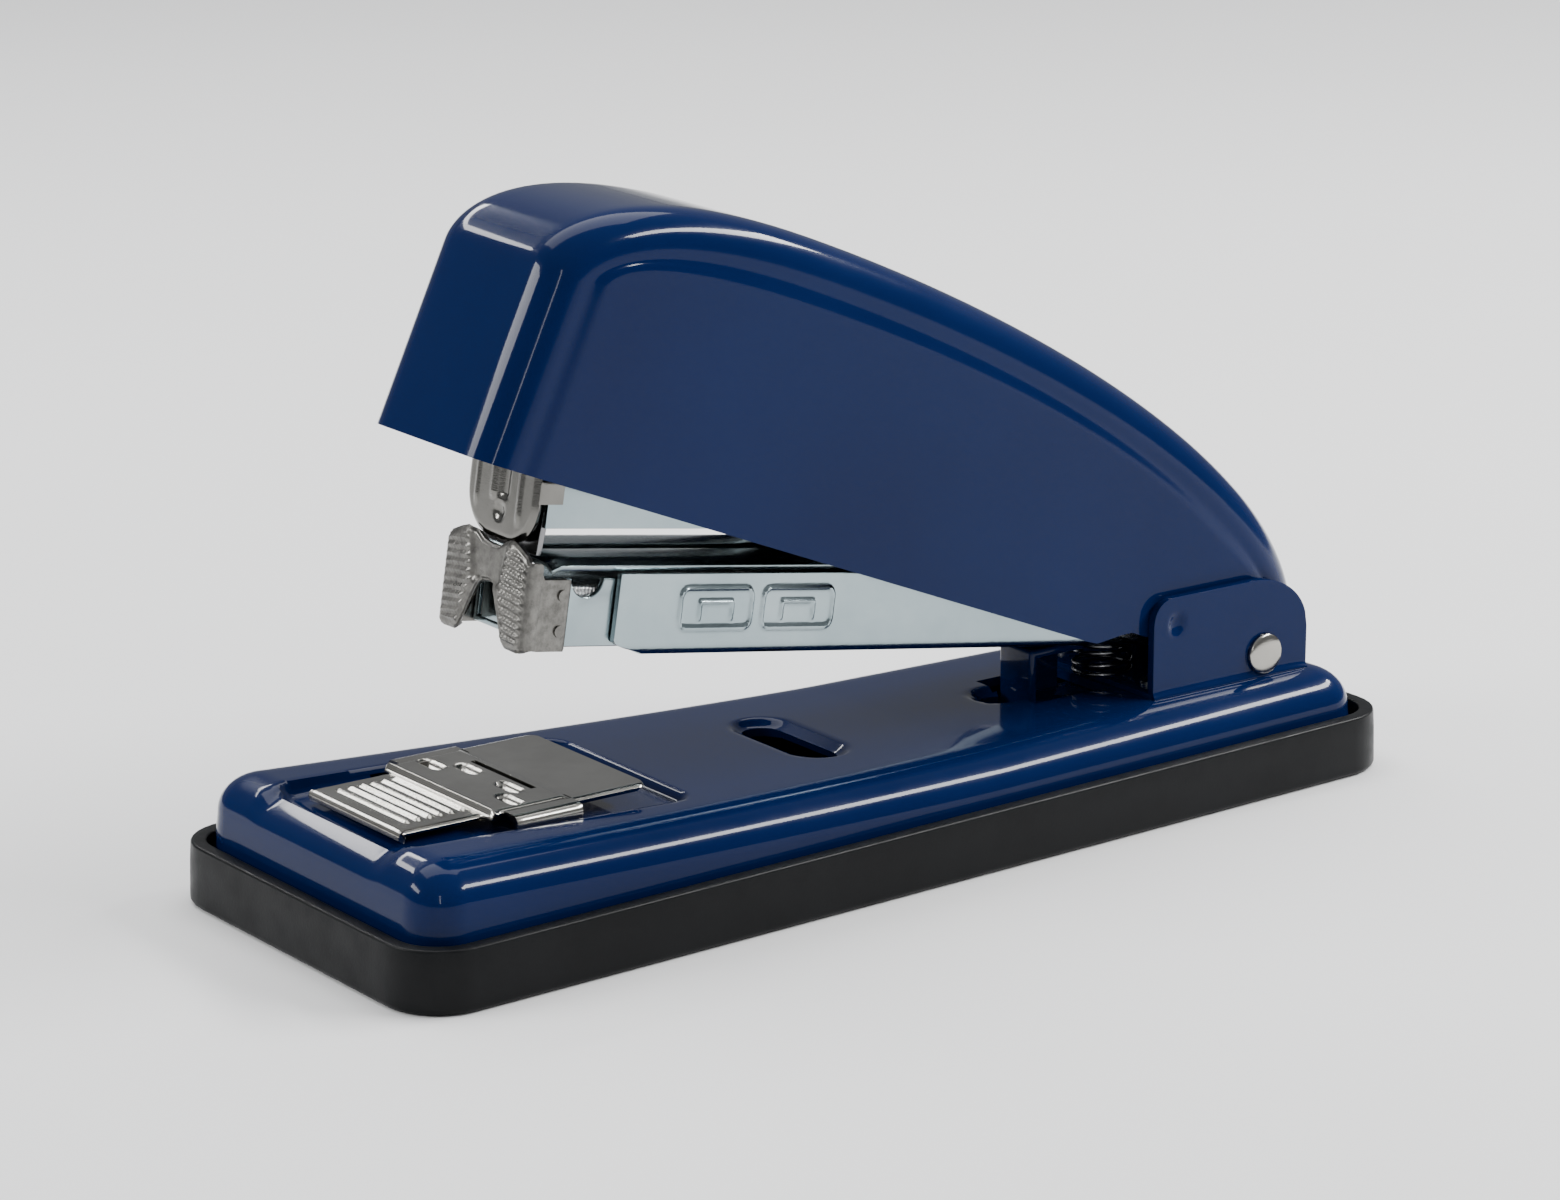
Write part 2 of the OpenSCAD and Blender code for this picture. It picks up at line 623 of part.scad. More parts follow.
// Inverted channel inside the cover that carries the blade
module driver_arm() {
    front = -reach + 4;
    low = -3.4;
    high = web_z + sheet_t;
    side = concat([[front, low + 3], [front, high], [-20, high], [-6, 4.6]],
        [for (k = [0:5]) [3.4 * cos(100 - 20 * k), 4.6 * sin(100 - 20 * k)]],
        [for (k = [0:3]) [2.6 * cos(-30 - 25 * k), 2.6 * sin(-30 - 25 * k)]],
        [[-9, -2.4], [-13, low], [front + 4, low]]);
    color(nickel) in_handle() difference() {
        union() {
            both_sides() plate(side, arm_half - sheet_t, arm_half);
            span([front, -arm_half, web_z], [-24, arm_half, high]);
            span([-reach - 1, -5.4, web_z], [front, 5.4, high]);
        }
        cross(0, 0, pin_d + 2 * pin_gap, -20, 20);
        for (x = stud_x) translate([x, 0, web_z - 1]) cylinder(d = 2.4, h = 4);
        for (s = [-1, 1]) translate([blade_rivet_x, s * 3.2, web_z - 1]) cylinder(d = 1.6, h = 4);
    }
}

blade_rivet_x = -reach + 3;
// Blade bent from spring steel: it hangs square to the magazine when the handle is down
module driver_blade() {
    down = handle_tilt - mag_tilt - stroke;
    half = staple_w / 2 - 0.7;
    foot = web_z - 0.9;
    color(steel) in_handle() {
        difference() {
            span([-reach - 2.8, -5, web_z - 0.9], [blade_rivet_x + 2, 5, web_z]);
            for (s = [-1, 1]) translate([blade_rivet_x, s * 3.2, web_z - 2]) cylinder(d = 1.6, h = 4);
        }
        difference() {
            rotate([0, -down, 0])
                span([-reach - 0.4, -half, drawer_low], [-reach + 0.4, half, 40]);
            span([-200, -20, foot + 0.5], [0, 20, 100]);
        }
    }
}

module blade_rivets() {
    color(nickel) in_handle() for (s = [-1, 1]) translate([blade_rivet_x, s * 3.2, web_z - 0.9]) {
        cylinder(d = 1.6, h = 0.9 + sheet_t);
        translate([0, 0, 0.9 + sheet_t]) cylinder(d = 2.8, h = 0.5);
        translate([0, 0, -0.5]) cylinder(d = 2.8, h = 0.5);
    }
}

stud_x = [-reach + 22.5, -38];           // the front stud stands behind the blade
module cover_studs() {
    color(steel) in_handle() for (x = stud_x) intersection() {
        translate([x, 0, web_z - 3]) cylinder(d = 2.4, h = 60);
        plate(cover_side(cover_t), -cover_half, cover_half);
    }
}

module cover_nuts() {
    color(nickel) in_handle() for (x = stud_x) translate([x, 0, web_z - 1.8]) difference() {
        cylinder(d = 5, h = 1.8, $fn = 6);
        translate([0, 0, -eps]) cylinder(d = 2.4, h = 2);
    }
}

// Bushes that keep the arm centred between the cover's walls on the pin
module arm_bushes() {
    color(steel) in_handle() both_sides() difference() {
        cross(0, 0, 5.2, arm_half, cover_half - cover_t);
        cross(0, 0, pin_d + 2 * pin_gap, arm_half - 1, cover_half);
    }
}

tray();
base_shell();
tray_screws();
anvil_plate();
anvil_spring();
hinge_bracket();
bracket_rivets();
hinge_pin();
stop_post();
lift_spring();
outer_channel();
top_strip();
upper_frame();
front_plate();
frame_rivets();
handle_spring();
drawer();
core_rail();
nose_clip();
clip_rivets();
guide_rod();
staple_strip();
pusher();
pusher_spring();
handle_cover();
driver_arm();
driver_blade();
blade_rivets();
cover_studs();
cover_nuts();
arm_bushes();
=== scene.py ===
# Desk stapler: the finished look of every piece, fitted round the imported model.
import json
import math
import bmesh
import bpy
import numpy as np
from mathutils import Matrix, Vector


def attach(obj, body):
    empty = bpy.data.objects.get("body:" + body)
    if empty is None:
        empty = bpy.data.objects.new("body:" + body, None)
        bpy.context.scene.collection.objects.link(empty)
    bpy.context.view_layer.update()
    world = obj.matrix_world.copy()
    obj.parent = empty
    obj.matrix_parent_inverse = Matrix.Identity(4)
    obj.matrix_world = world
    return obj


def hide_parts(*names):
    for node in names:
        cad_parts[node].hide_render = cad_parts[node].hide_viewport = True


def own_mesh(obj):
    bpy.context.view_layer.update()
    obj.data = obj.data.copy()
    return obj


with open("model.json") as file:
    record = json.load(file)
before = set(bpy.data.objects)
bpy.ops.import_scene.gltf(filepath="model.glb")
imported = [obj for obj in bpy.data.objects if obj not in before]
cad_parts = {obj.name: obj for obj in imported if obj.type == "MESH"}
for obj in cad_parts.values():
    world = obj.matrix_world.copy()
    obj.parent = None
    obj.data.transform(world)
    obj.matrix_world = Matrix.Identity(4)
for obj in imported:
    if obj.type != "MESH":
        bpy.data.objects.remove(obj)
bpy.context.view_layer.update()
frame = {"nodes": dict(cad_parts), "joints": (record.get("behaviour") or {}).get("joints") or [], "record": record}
cad = frame["nodes"]
joints = {j["name"]: j for j in frame["joints"]}
pin = np.array(joints["magazine_swing"]["pos_m"]) * 1000  # everything below is worked out in mm
slideAxis = joints["drawer_slide"]["axis"]
magTilt = math.atan2(-slideAxis[2], slideAxis[0])
mm = 0.001
ahead = {  # distances in front of the hinge pin
    "blade": 110.5,
    "recessEnd": 90.5,
    "slot": 66,
    "hole": 33,
    "post": 25.6,
}
bladeX = pin[0] - ahead["blade"]


def points(node):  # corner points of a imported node, in mm
    mesh = cad[node].data
    co = np.empty(len(mesh.vertices) * 3)
    mesh.vertices.foreach_get("co", co)
    return co.reshape(-1, 3) * 1000


def plateTilt(node):  # tilt of the largest face that looks upwards
    best = max((p for p in cad[node].data.polygons if p.normal.z > 0.5), key=lambda p: p.area)
    return math.atan2(best.normal.x, best.normal.z)


handleTilt = plateTilt("driver_arm")


def intoFrame(p, tilt):  # turned back by tilt about the hinge pin, so the piece lies level
    q = p - pin
    x = q[..., 0] * math.cos(tilt) - q[..., 2] * math.sin(tilt)
    z = q[..., 0] * math.sin(tilt) + q[..., 2] * math.cos(tilt)
    return np.stack([x, q[..., 1], z], -1)


def outOfFrame(p, tilt):  # the same turn the other way
    x = p[..., 0] * math.cos(tilt) + p[..., 2] * math.sin(tilt)
    z = -p[..., 0] * math.sin(tilt) + p[..., 2] * math.cos(tilt)
    return np.stack([x, p[..., 1], z], -1) + pin


def box(node, tilt=None):  # lowest and highest corner, in the tilted frame if there is one
    p = points(node) if tilt is None else intoFrame(points(node), tilt)
    return p.min(0), p.max(0)


def smooth(t):  # 0 below 0, 1 above 1, between them 3 t squared less 2 t cubed, level at both ends
    t = np.clip(t, 0, 1)
    return t * t * (3 - 2 * t)


def stops(*marks):  # stops(a, n, b, m, c): n equal steps from a to b, then m from b to c
    out = [np.array([marks[0]], float)]
    for i in range(1, len(marks) - 1, 2):
        out.append(np.linspace(out[-1][-1], marks[i + 1], marks[i] + 1)[1:])
    return np.concatenate(out)


def grid(*columns):  # x, y and z broadcast to one shape and stacked into points
    return np.stack(np.broadcast_arrays(*columns), -1).astype(float)


mirror = np.array([1, -1, 1])


def quads(rows, cols, ringU=False, ringV=False):  # faces between neighbouring rows and columns
    i = np.arange(rows if ringU else rows - 1)[:, None]
    j = np.arange(cols if ringV else cols - 1)[None]
    a = i * cols + j
    b = i * cols + (j + 1) % cols
    c = (i + 1) % rows * cols + (j + 1) % cols
    d = (i + 1) % rows * cols + j
    return np.stack([a, b, c, d], -1).reshape(-1, 4)


mending = {
    "doubles": 2e-6,  # points closer than this become one
    "slivers": 1e-6,  # edges shorter than this go
    "flatAngle": 0.01,  # faces that differ by less are joined
    "shadeExtra": 8,  # an edge is shaded sharp this many degrees past the bevel's limit
}


def piece(name, sheets, tilt=None, wall=0, bevel=0, keep=None, sharp=32):
    # each sheet is (points, ringU, ringV); keep drops faces by their middle point
    verts, faces, start = [], [], 0
    for sheet in sheets:
        pts, ringU, ringV = sheet if isinstance(sheet, tuple) else (sheet, False, False)
        f = quads(pts.shape[0], pts.shape[1], ringU, ringV)
        flat = pts.reshape(-1, 3)
        if keep is not None:
            f = f[keep(flat[f].mean(1))]
        verts.append(flat)
        faces.append(f + start)
        start += len(flat)
    v = np.concatenate(verts)
    if tilt is not None:
        v = outOfFrame(v, tilt)
    mesh = bpy.data.meshes.new(name)
    mesh.from_pydata((v * mm).tolist(), [], np.concatenate(faces).tolist())
    return finishMesh(name, mesh, wall, bevel, sharp)


def finishMesh(name, mesh, wall=0, bevel=0, sharp=32, dissolve=False):
    # merges doubles, gives the sheet its wall inwards, rounds its edges and sets the shading
    work = bmesh.new()
    work.from_mesh(mesh)
    bmesh.ops.remove_doubles(work, verts=work.verts, dist=mending["doubles"])
    bmesh.ops.dissolve_degenerate(work, edges=work.edges, dist=mending["slivers"])
    loose = [v for v in work.verts if not v.link_faces]
    bmesh.ops.delete(work, geom=loose, context="VERTS")
    if dissolve:
        bmesh.ops.dissolve_limit(work, angle_limit=mending["flatAngle"], verts=work.verts, edges=work.edges)
    work.to_mesh(mesh)
    work.free()
    obj = bpy.data.objects.new(name, mesh)
    bpy.context.scene.collection.objects.link(obj)
    if wall:
        m = obj.modifiers.new("wall", "SOLIDIFY")
        m.thickness = wall * mm
        m.offset = -1
        m.use_even_offset = False
    if bevel:
        m = obj.modifiers.new("edges", "BEVEL")
        m.width = bevel * mm
        m.segments = 3
        m.limit_method = "ANGLE"
        m.angle_limit = math.radians(sharp)
        m.use_clamp_overlap = True
    if obj.modifiers:
        graph = bpy.context.evaluated_depsgraph_get()
        done = bpy.data.meshes.new_from_object(obj.evaluated_get(graph))
        obj.modifiers.clear()
        obj.data = done
        done.name = name
    obj.data.shade_smooth()
    obj.data.set_sharp_from_angle(angle=math.radians(sharp + mending["shadeExtra"]))
    return obj


def lathe(profile, around=40):
    # (radius, height) points turned about the z axis: x = radius cos a, y = radius sin a
    a = np.linspace(0, 2 * math.pi, around, endpoint=False)
    r = np.array(profile)[:, :1]
    z = np.array(profile)[:, 1:]
    return (grid(r * np.cos(a), r * np.sin(a), z + 0 * a), False, True)


def dome(r, h, n=6):
    # a quarter of an ellipse from the middle of a domed head out to its rim: (r sin a, h cos a)
    t = np.linspace(0, math.pi / 2, n)
    return [(r * math.sin(a), h * math.cos(a)) for a in t]


def quarter(x, z, r, start, n):
    # a quarter circle about (x, z), clockwise from start degrees: (x + r cos b, z + r sin b)
    b = np.radians(np.linspace(start, start - 90, n))
    return list(zip(x + r * np.cos(b), z + r * np.sin(b)))


def coil(start, along, across, r, wire, length, turns, perTurn=20, sides=10):
    # a round wire carried round a helix. Its height is the share u of the length less a ninth of
    # sin 2 pi u, so the turns lie closer at both ends
    u = np.linspace(0, 1, int(turns * perTurn) + 1)[:, None]
    a = 2 * math.pi * turns * u
    k = np.linspace(0, 2 * math.pi, sides, endpoint=False)[None]
    thick = wire / 2 * np.where((u == 0) | (u == 1), 0.001, 1)  # the wire's ends are closed
    q = r - wire / 2 + thick * np.cos(k)
    h = wire / 2 + (length - wire) * (u - np.sin(2 * math.pi * u) / 9) + thick * np.sin(k)
    side = np.cross(along, across)
    pts = np.array(start) + h[..., None] * np.array(along)
    pts = pts + (q * np.cos(a))[..., None] * np.array(across) + (q * np.sin(a))[..., None] * side
    return pts, False, True


def bezier(p, n):
    # cubic curve through n + 1 points, with s = 1 - t: s^3 p0 + 3 t s^2 p1 + 3 t^2 s p2 + t^3 p3
    t = np.linspace(0, 1, n + 1)[:, None]
    p = np.array(p, float)
    return (1 - t) ** 3 * p[0] + 3 * t * (1 - t) ** 2 * p[1] + 3 * t * t * (1 - t) * p[2] + t ** 3 * p[3]


def place(obj, body, slot, material, *nodes):  # hands the piece to its body, hides the imported nodes and gives it its material; the slot is not used
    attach(obj, body)
    if nodes:
        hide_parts(*nodes)
    obj.data.materials.clear()
    obj.data.materials.append(material)


def soft(name, node, bevel, body, slot, material):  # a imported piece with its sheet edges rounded
    obj = finishMesh(name, cad[node].data.copy(), 0, bevel, 32, dissolve=True)
    place(obj, body, slot, material, node)


def startMaterial(name):
    mat = bpy.data.materials.new(name)
    mat.use_nodes = True
    tree = mat.node_tree
    return mat, tree, tree.nodes["Principled BSDF"]


def fill(node, values):
    for key, value in values.items():
        node.inputs[key].default_value = value


def objectPlace(tree, scale=(1, 1, 1), turn=(0, 0, 0)):  # object coordinates, stretched and turned
    coords = tree.nodes.new("ShaderNodeTexCoord")
    mapping = tree.nodes.new("ShaderNodeMapping")
    fill(mapping, {"Scale": scale, "Rotation": turn})
    tree.links.new(coords.outputs["Object"], mapping.inputs["Vector"])
    return mapping.outputs["Vector"]


def noise(tree, where, scale, detail=3, rough=0.5):
    n = tree.nodes.new("ShaderNodeTexNoise")
    fill(n, {"Scale": scale, "Detail": detail, "Roughness": rough})
    tree.links.new(where, n.inputs["Vector"])
    return n.outputs["Fac"]


def remap(tree, value, low, high, fromLow=0.3, fromHigh=0.7):
    m = tree.nodes.new("ShaderNodeMapRange")
    fill(m, {"From Min": fromLow, "From Max": fromHigh, "To Min": low, "To Max": high})
    tree.links.new(value, m.inputs["Value"])
    return m.outputs["Result"]


def mixColours(tree, value, a, b):
    ramp = tree.nodes.new("ShaderNodeValToRGB")
    for stop, position, colour in zip(ramp.color_ramp.elements, (0.3, 0.7), (a, b)):
        stop.position = position
        stop.color = (*colour, 1)
    tree.links.new(value, ramp.inputs["Fac"])
    return ramp.outputs["Color"]


def bump(tree, shader, heights, distance, strength):
    last = None
    for value in heights:
        b = tree.nodes.new("ShaderNodeBump")
        fill(b, {"Distance": distance, "Strength": strength})
        tree.links.new(value, b.inputs["Height"])
        if last:
            tree.links.new(last, b.inputs["Normal"])
        last = b.outputs["Normal"]
    tree.links.new(last, shader.inputs["Normal"])


def lacquer(name, deep, light):  # stoved enamel: glossy coat with a trace of orange peel
    mat, tree, shader = startMaterial(name)
    where = objectPlace(tree)
    tree.links.new(mixColours(tree, noise(tree, where, 30, 4), deep, light), shader.inputs["Base Color"])
    tree.links.new(remap(tree, noise(tree, where, 90, 5, 0.6), 0.13, 0.24), shader.inputs["Roughness"])
    fill(shader, {"Specular IOR Level": 0.03, "Coat Weight": 1.0, "Coat Roughness": 0.035, "Coat IOR": 1.2})
    bump(tree, shader, [noise(tree, where, 700, 2), noise(tree, where, 120, 2)], 0.00001, 0.5)
    return mat


def blackPlastic():  # moulded ABS: fine spark-eroded grain, a little dull on the flats
    mat, tree, shader = startMaterial("blackPlastic")
    where = objectPlace(tree)
    tone = mixColours(tree, noise(tree, where, 60, 5), (0.0022, 0.0025, 0.003), (0.0045, 0.005, 0.0058))
    tree.links.new(tone, shader.inputs["Base Color"])
    tree.links.new(remap(tree, noise(tree, where, 300, 4), 0.3, 0.46), shader.inputs["Roughness"])
    shader.inputs["Specular IOR Level"].default_value = 0.14
    bump(tree, shader, [noise(tree, where, 2600, 3, 0.7)], 0.00003, 0.5)
    return mat


def platedSteel(name, dark, bright, low, high, tilt):
    # rolled sheet under plating: long faint streaks along the piece, cloudy gloss, fine pits; low
    # and high bound the roughness
    mat, tree, shader = startMaterial(name)
    streaks = objectPlace(tree, (14, 260, 900), (0, -tilt, 0))
    plain = objectPlace(tree)
    cloud = noise(tree, plain, 55, 5, 0.65)
    lines = noise(tree, streaks, 6, 3, 0.6)
    tree.links.new(mixColours(tree, cloud, dark, bright), shader.inputs["Base Color"])
    shader.inputs["Metallic"].default_value = 1.0
    add = tree.nodes.new("ShaderNodeMath")
    add.operation = "MULTIPLY_ADD"
    add.inputs[1].default_value = 0.6
    tree.links.new(lines, add.inputs[0])
    tree.links.new(remap(tree, cloud, 0, 0.4, 0.25, 0.75), add.inputs[2])
    tree.links.new(remap(tree, add.outputs[0], low, high, 0.2, 0.8), shader.inputs["Roughness"])
    bump(tree, shader, [lines, noise(tree, plain, 900, 3, 0.6)], 0.00002, 0.4)
    return mat


def castZinc(name):  # die casting: grainy skin with darker hollows
    mat, tree, shader = startMaterial(name)
    where = objectPlace(tree)
    grain = noise(tree, where, 900, 4, 0.7)
    tone = mixColours(tree, grain, (0.11, 0.107, 0.10), (0.22, 0.215, 0.20))
    tree.links.new(tone, shader.inputs["Base Color"])
    shader.inputs["Metallic"].default_value = 1.0
    tree.links.new(remap(tree, noise(tree, where, 350, 4), 0.26, 0.46), shader.inputs["Roughness"])
    bump(tree, shader, [grain, noise(tree, where, 220, 2)], 0.00006, 0.6)
    return mat


plating = {  # dark tone, bright tone, lowest and highest roughness, tilt of the rolling streaks
    "nickelBase": ((0.29, 0.28, 0.255), (0.40, 0.39, 0.36), 0.12, 0.24, 0),
    # the magazine's nickel is tinted blue: a painted reflection of the blue lacquer round it
    "nickelMagazine": ((0.25, 0.315, 0.335), (0.35, 0.415, 0.435), 0.12, 0.26, magTilt),
    # the front plate's nickel is painted darker than the rest: painted shade under the handle's nose
    "nickelFront": ((0.13, 0.127, 0.118), (0.22, 0.215, 0.20), 0.12, 0.24, magTilt),
    "nickelHandle": ((0.30, 0.32, 0.325), (0.42, 0.44, 0.445), 0.2, 0.36, handleTilt),
    "zincPlate": ((0.50, 0.50, 0.48), (0.66, 0.66, 0.63), 0.2, 0.36, 0),
    "springSteel": ((0.16, 0.16, 0.165), (0.30, 0.30, 0.31), 0.18, 0.32, 0),
    "stapleWire": ((0.62, 0.63, 0.64), (0.80, 0.80, 0.80), 0.16, 0.3, magTilt),
}
blueLacquer = lacquer("blueLacquer", (0.0005, 0.0072, 0.047), (0.0008, 0.0092, 0.057))
plastic = blackPlastic()
zincCast = castZinc("zincCast")
(nickelBase, nickelMagazine, nickelFront, nickelHandle, zincPlate, springSteel,
 stapleWire) = (platedSteel(name, *values) for name, values in plating.items())
slotLooks = {"blue_lacquer": blueLacquer, "black_plastic": plastic, "nickel": nickelMagazine,
             "cast_zinc": zincCast, "zinc_plate": zincPlate, "spring_steel": springSteel,
             "staple_wire": stapleWire}
print("materials ready")


handleCover = {
    "lip": 1.2,  # how far the lower edge reaches in front of the nose
    "round": 4.6,  # radius along the roof and the nose
    "wall": 1.0,
    "panel": 0.32,  # the side panels stand this proud
    "panelIn": 5.6,  # where the panel's soft step begins, from the outline
    "panelStep": 2.4,
    "chin": 13.3,  # the nose: depths of its first two points under the top
    "brow": 7.9,
    "browOut": (0.5, 8.7, 37, 63),  # and how far its other points and the back's lie behind the lip
    "back": (-29.8, 3.4),  # last handle of the back: x from the pin, depth under the top
    "joint": (-9.8, 11.9),  # where back and heel meet
    "heel": (-3.6, 14.4),  # first handle of the heel
    "heelLow": (0.3, 11, 1.6, 1),  # second handle in front of the end, its height, two last heights
    "edge": ((-27, None), (-22, -2.4), (0, -2.6), (4.7, -0.6), (None, 1)),  # lower edge at the hinge
    "halfAt": -25,  # the sides taper in to here
    "panelEnd": 9.5,  # where the rows leave the outline for the flat panel
}


def coverOutline(lo, hi, a=0, n=30):
    # nose, back and heel: three cubic curves from the lower front edge to the hinge. Moved in by a,
    # every handle gives way by its own share of a
    d = handleCover
    f = lo[0] + d["lip"] + a
    end = hi[0] - a
    top = hi[2]
    o = d["browOut"]
    nose = [(f, top - d["chin"]), (f + o[0], top - d["brow"] - 0.3 * a), (f + o[1], top - a),
            (f + o[2] - a, top - a)]
    joint = (d["joint"][0] - 0.45 * a, top - d["joint"][1] - 0.9 * a)
    back = [nose[3], (f + o[3] - a, top - a), (d["back"][0] - 0.3 * a, top - d["back"][1] - 0.95 * a), joint]
    inFront, high, low, last = d["heelLow"]
    heel = [joint, (d["heel"][0] - 0.5 * a, top - d["heel"][1] - 0.87 * a), (end - inFront, high - 0.3 * a),
            (end, low)]
    front = np.linspace((lo[0] + a, lo[2]), nose[0], 14)[:-1]
    tail = np.linspace((end, low), (end, last), 4)[1:]
    return np.concatenate([front, bezier(nose, n)[:-1], bezier(back, n + 10)[:-1], bezier(heel, n), tail])


def makeHandleCover():
    # rows run along the outline. On the roof the half width grows in equal steps; the edge is a
    # quarter circle: inwards r (1 - cos p), outwards r sin p; the side goes down to the lower edge
    # and stands out by the panel's height times smooth(distance past panelIn / panelStep)
    d = handleCover
    lo, hi = box("handle_cover", handleTilt)
    line = coverOutline(lo, hi)
    step = np.gradient(line, axis=0)
    step /= np.linalg.norm(step, axis=1, keepdims=True)
    inward = np.stack([step[:, 1], -step[:, 0]], 1)
    inward[0] = (1, 0)
    atPin = np.abs(intoFrame(points("handle_cover"), handleTilt)[:, 0]) < 3
    rear = np.abs(points("handle_cover")[atPin][:, 1]).max()
    halfAt = lambda x: np.interp(x, [lo[0] + d["round"], d["halfAt"]], [hi[1], rear])
    r = d["round"]
    phi = np.linspace(0, math.pi / 2, 11)
    arcIn = r * (1 - np.cos(phi))
    arcOut = r * np.sin(phi)
    rows = []
    half = halfAt(line[:, 0])
    for k in np.linspace(0, 1, 7)[:-1]:  # roof and nose, from the middle outwards
        rows.append(grid(line[:, 0], k * (half - r), line[:, 1]))
    for a, b in zip(arcIn, arcOut):  # the rounded edge
        p = line + inward * a
        rows.append(grid(p[:, 0], halfAt(p[:, 0]) - r + b, p[:, 1]))
    depths = stops(r + 0.25, 3, d["panelIn"], 8, d["panelIn"] + d["panelStep"], 2, d["panelEnd"])
    edge = [(x if x is not None else hi[0], z if z is not None else lo[2]) for x, z in d["edge"]]
    lower = np.array([(lo[0], lo[2])] + edge)
    for a in depths:  # side wall near the outline, rising to the panel
        k = smooth((a - r) / 2.5)
        p = (line + inward * a) * (1 - k) + coverOutline(lo, hi, a) * k
        p[0] = (lo[0] + a, lo[2])
        p[-1] = (hi[0] - a, np.interp(hi[0] - a, lower[1:, 0], lower[1:, 1]))
        p[:, 1] = np.maximum(p[:, 1], np.interp(p[:, 0], lower[:, 0], lower[:, 1]))
        proud = d["panel"] * smooth((a - d["panelIn"]) / d["panelStep"])
        rows.append(grid(p[:, 0], halfAt(p[:, 0]) + proud, p[:, 1]))
    inner = rows[-1][:, [0, 2]]
    run = np.concatenate([[0], np.cumsum(np.linalg.norm(np.diff(inner, axis=0), axis=1))])
    share = run / run[-1]
    x = inner[0, 0] + (inner[-1, 0] - inner[0, 0]) * share
    z = np.interp(x, lower[:, 0], lower[:, 1])
    for k in np.linspace(0, 1, 7)[1:]:  # the flat panel, down to the straight lower edge
        px = inner[:, 0] * (1 - k) + x * k
        pz = inner[:, 1] * (1 - k) + z * k
        rows.append(grid(px, halfAt(px) + d["panel"], pz))
    near = np.stack(rows)
    far = near * mirror
    whole = np.concatenate([far[:0:-1], near])
    obj = piece("handleCover", [whole], handleTilt, wall=d["wall"], sharp=40)
    place(obj, "handle", "blue_lacquer", blueLacquer, "handle_cover")


makeHandleCover()
print("handle cover made")

trayPlan = {
    "corner": 7.6,
    "wall": 2.2,
    "floor": 1.6,
    "lip": (0.6, 0.35),  # rounded outer edge: how far in its middle lies, its radius
    "inside": 0.3,  # radius of the inner edge
    "foot": 0.9,  # radius at the table
    "spine": 24,  # the floor closes on a line that ends this far from the ends
    "under": ((20, 0), (9, 0), (6.6, 0), (6.2, 0.5), (3.4, 0.5), (3.0, 0), (1.4, 0)),  # groove below
    "draft": ((0.05, 3), (0.12, 5.5)),
}

trayPoints = points("tray")
trayEnd, trayFront = trayPoints.max(0)[:2]  # half length, half width in front
atRear = np.abs(trayPoints[:, 0] - (trayEnd - trayPlan["corner"])) < 0.3
trayRear = trayPoints[atRear][:, 1].max()


def ring(inset, corner, sideSteps, endSteps, turn=8):
    # the tray's plan moved in by inset: tapering sides, round corners with their own radius
    e = trayEnd - inset
    hf = trayFront - inset
    hr = trayRear - inset
    out = []
    for sx, h, start in ((1, hr, 0), (-1, hf, 90), (-1, hf, 180), (1, hr, 270)):
        sy = 1 if start in (0, 90) else -1
        a = np.radians(start + np.linspace(0, 90, turn + 1))
        arc = np.stack([sx * (e - corner) + corner * np.cos(a), sy * (h - corner) + corner * np.sin(a)], 1)
        out.append(arc)
    sides = []
    for k in range(4):
        a, b = out[k][-1], out[(k + 1) % 4][0]
        share = sideSteps if k in (0, 2) else endSteps
        share = share if k in (2, 3) else 1 - share[::-1]
        sides.append(out[k])
        sides.append(a + (b - a) * share[1:-1, None])
    return np.concatenate(sides)


def makeTray():
    # a closed profile of (inset, height) pairs carried round the tray's plan
    d = trayPlan
    top = trayPoints.max(0)[2]
    even = np.linspace(0, 1, 21)
    r, w, floor = d["corner"], d["wall"], d["floor"]
    lipIn, lipR = d["lip"]
    profile = list(d["under"]) + quarter(d["foot"], d["foot"], d["foot"], 270, 6) + list(d["draft"])
    profile += quarter(lipIn, top - lipR, lipR, 180, 5)
    profile += quarter(w - d["inside"], top - d["inside"], d["inside"], 90, 5)
    profile += [(w, 4), (w, floor), (9, floor), (20, floor)]
    rings = []
    for inset, z in profile:
        plan = ring(inset, max(r - inset, 0.3), even, even)
        rings.append(grid(plan[:, 0], plan[:, 1], z))
    ends = trayEnd - d["spine"]
    spine = lambda z, p: grid(np.clip(p[:, 0], -ends, ends), 0 * p[:, 0], z)
    last = rings[-1][:, :2]
    rings = [spine(0, last)] + rings + [spine(floor, last)]
    obj = piece("trayBase", [(np.stack(rings), False, True)], sharp=38)
    place(obj, "base", "black_plastic", plastic, "tray")


makeTray()
print("tray made")

shell = {
    "inset": 3.0,  # from the tray's outside
    "low": 1.6,
    "corner": 5.2,
    "edge": 5.6,  # width of the rounded upper edge
    "drop": 5.0,  # its depth
    "flat": 6.6,  # where the level top begins
    "sheet": 1.2,
    "lipDrop": 0.7,  # the front edge is lower across the recess
    "lipHalf": 15.4,
    "dish": (1.0, 1.7),  # depth and reach of the hollow round each hole
    "slope": 1.3,  # power of the rise towards the nose
    "keepRow": (16.2, 11.2),  # half widths left straight in front and at the rear
}
slotHole = {"x": pin[0] - ahead["slot"], "half": (5.2, 11.2), "size": (5.4, 16.4)}
roundHole = {"x": pin[0] - ahead["hole"], "half": (4.4, 4.4), "size": (4.4, 4.4)}


def stadium(x, y, hole):  # distance from a slot with round ends, below zero inside it
    w, l = hole["size"]
    return np.hypot(x - hole["x"], np.maximum(np.abs(y) - (l - w) / 2, 0)) - w / 2


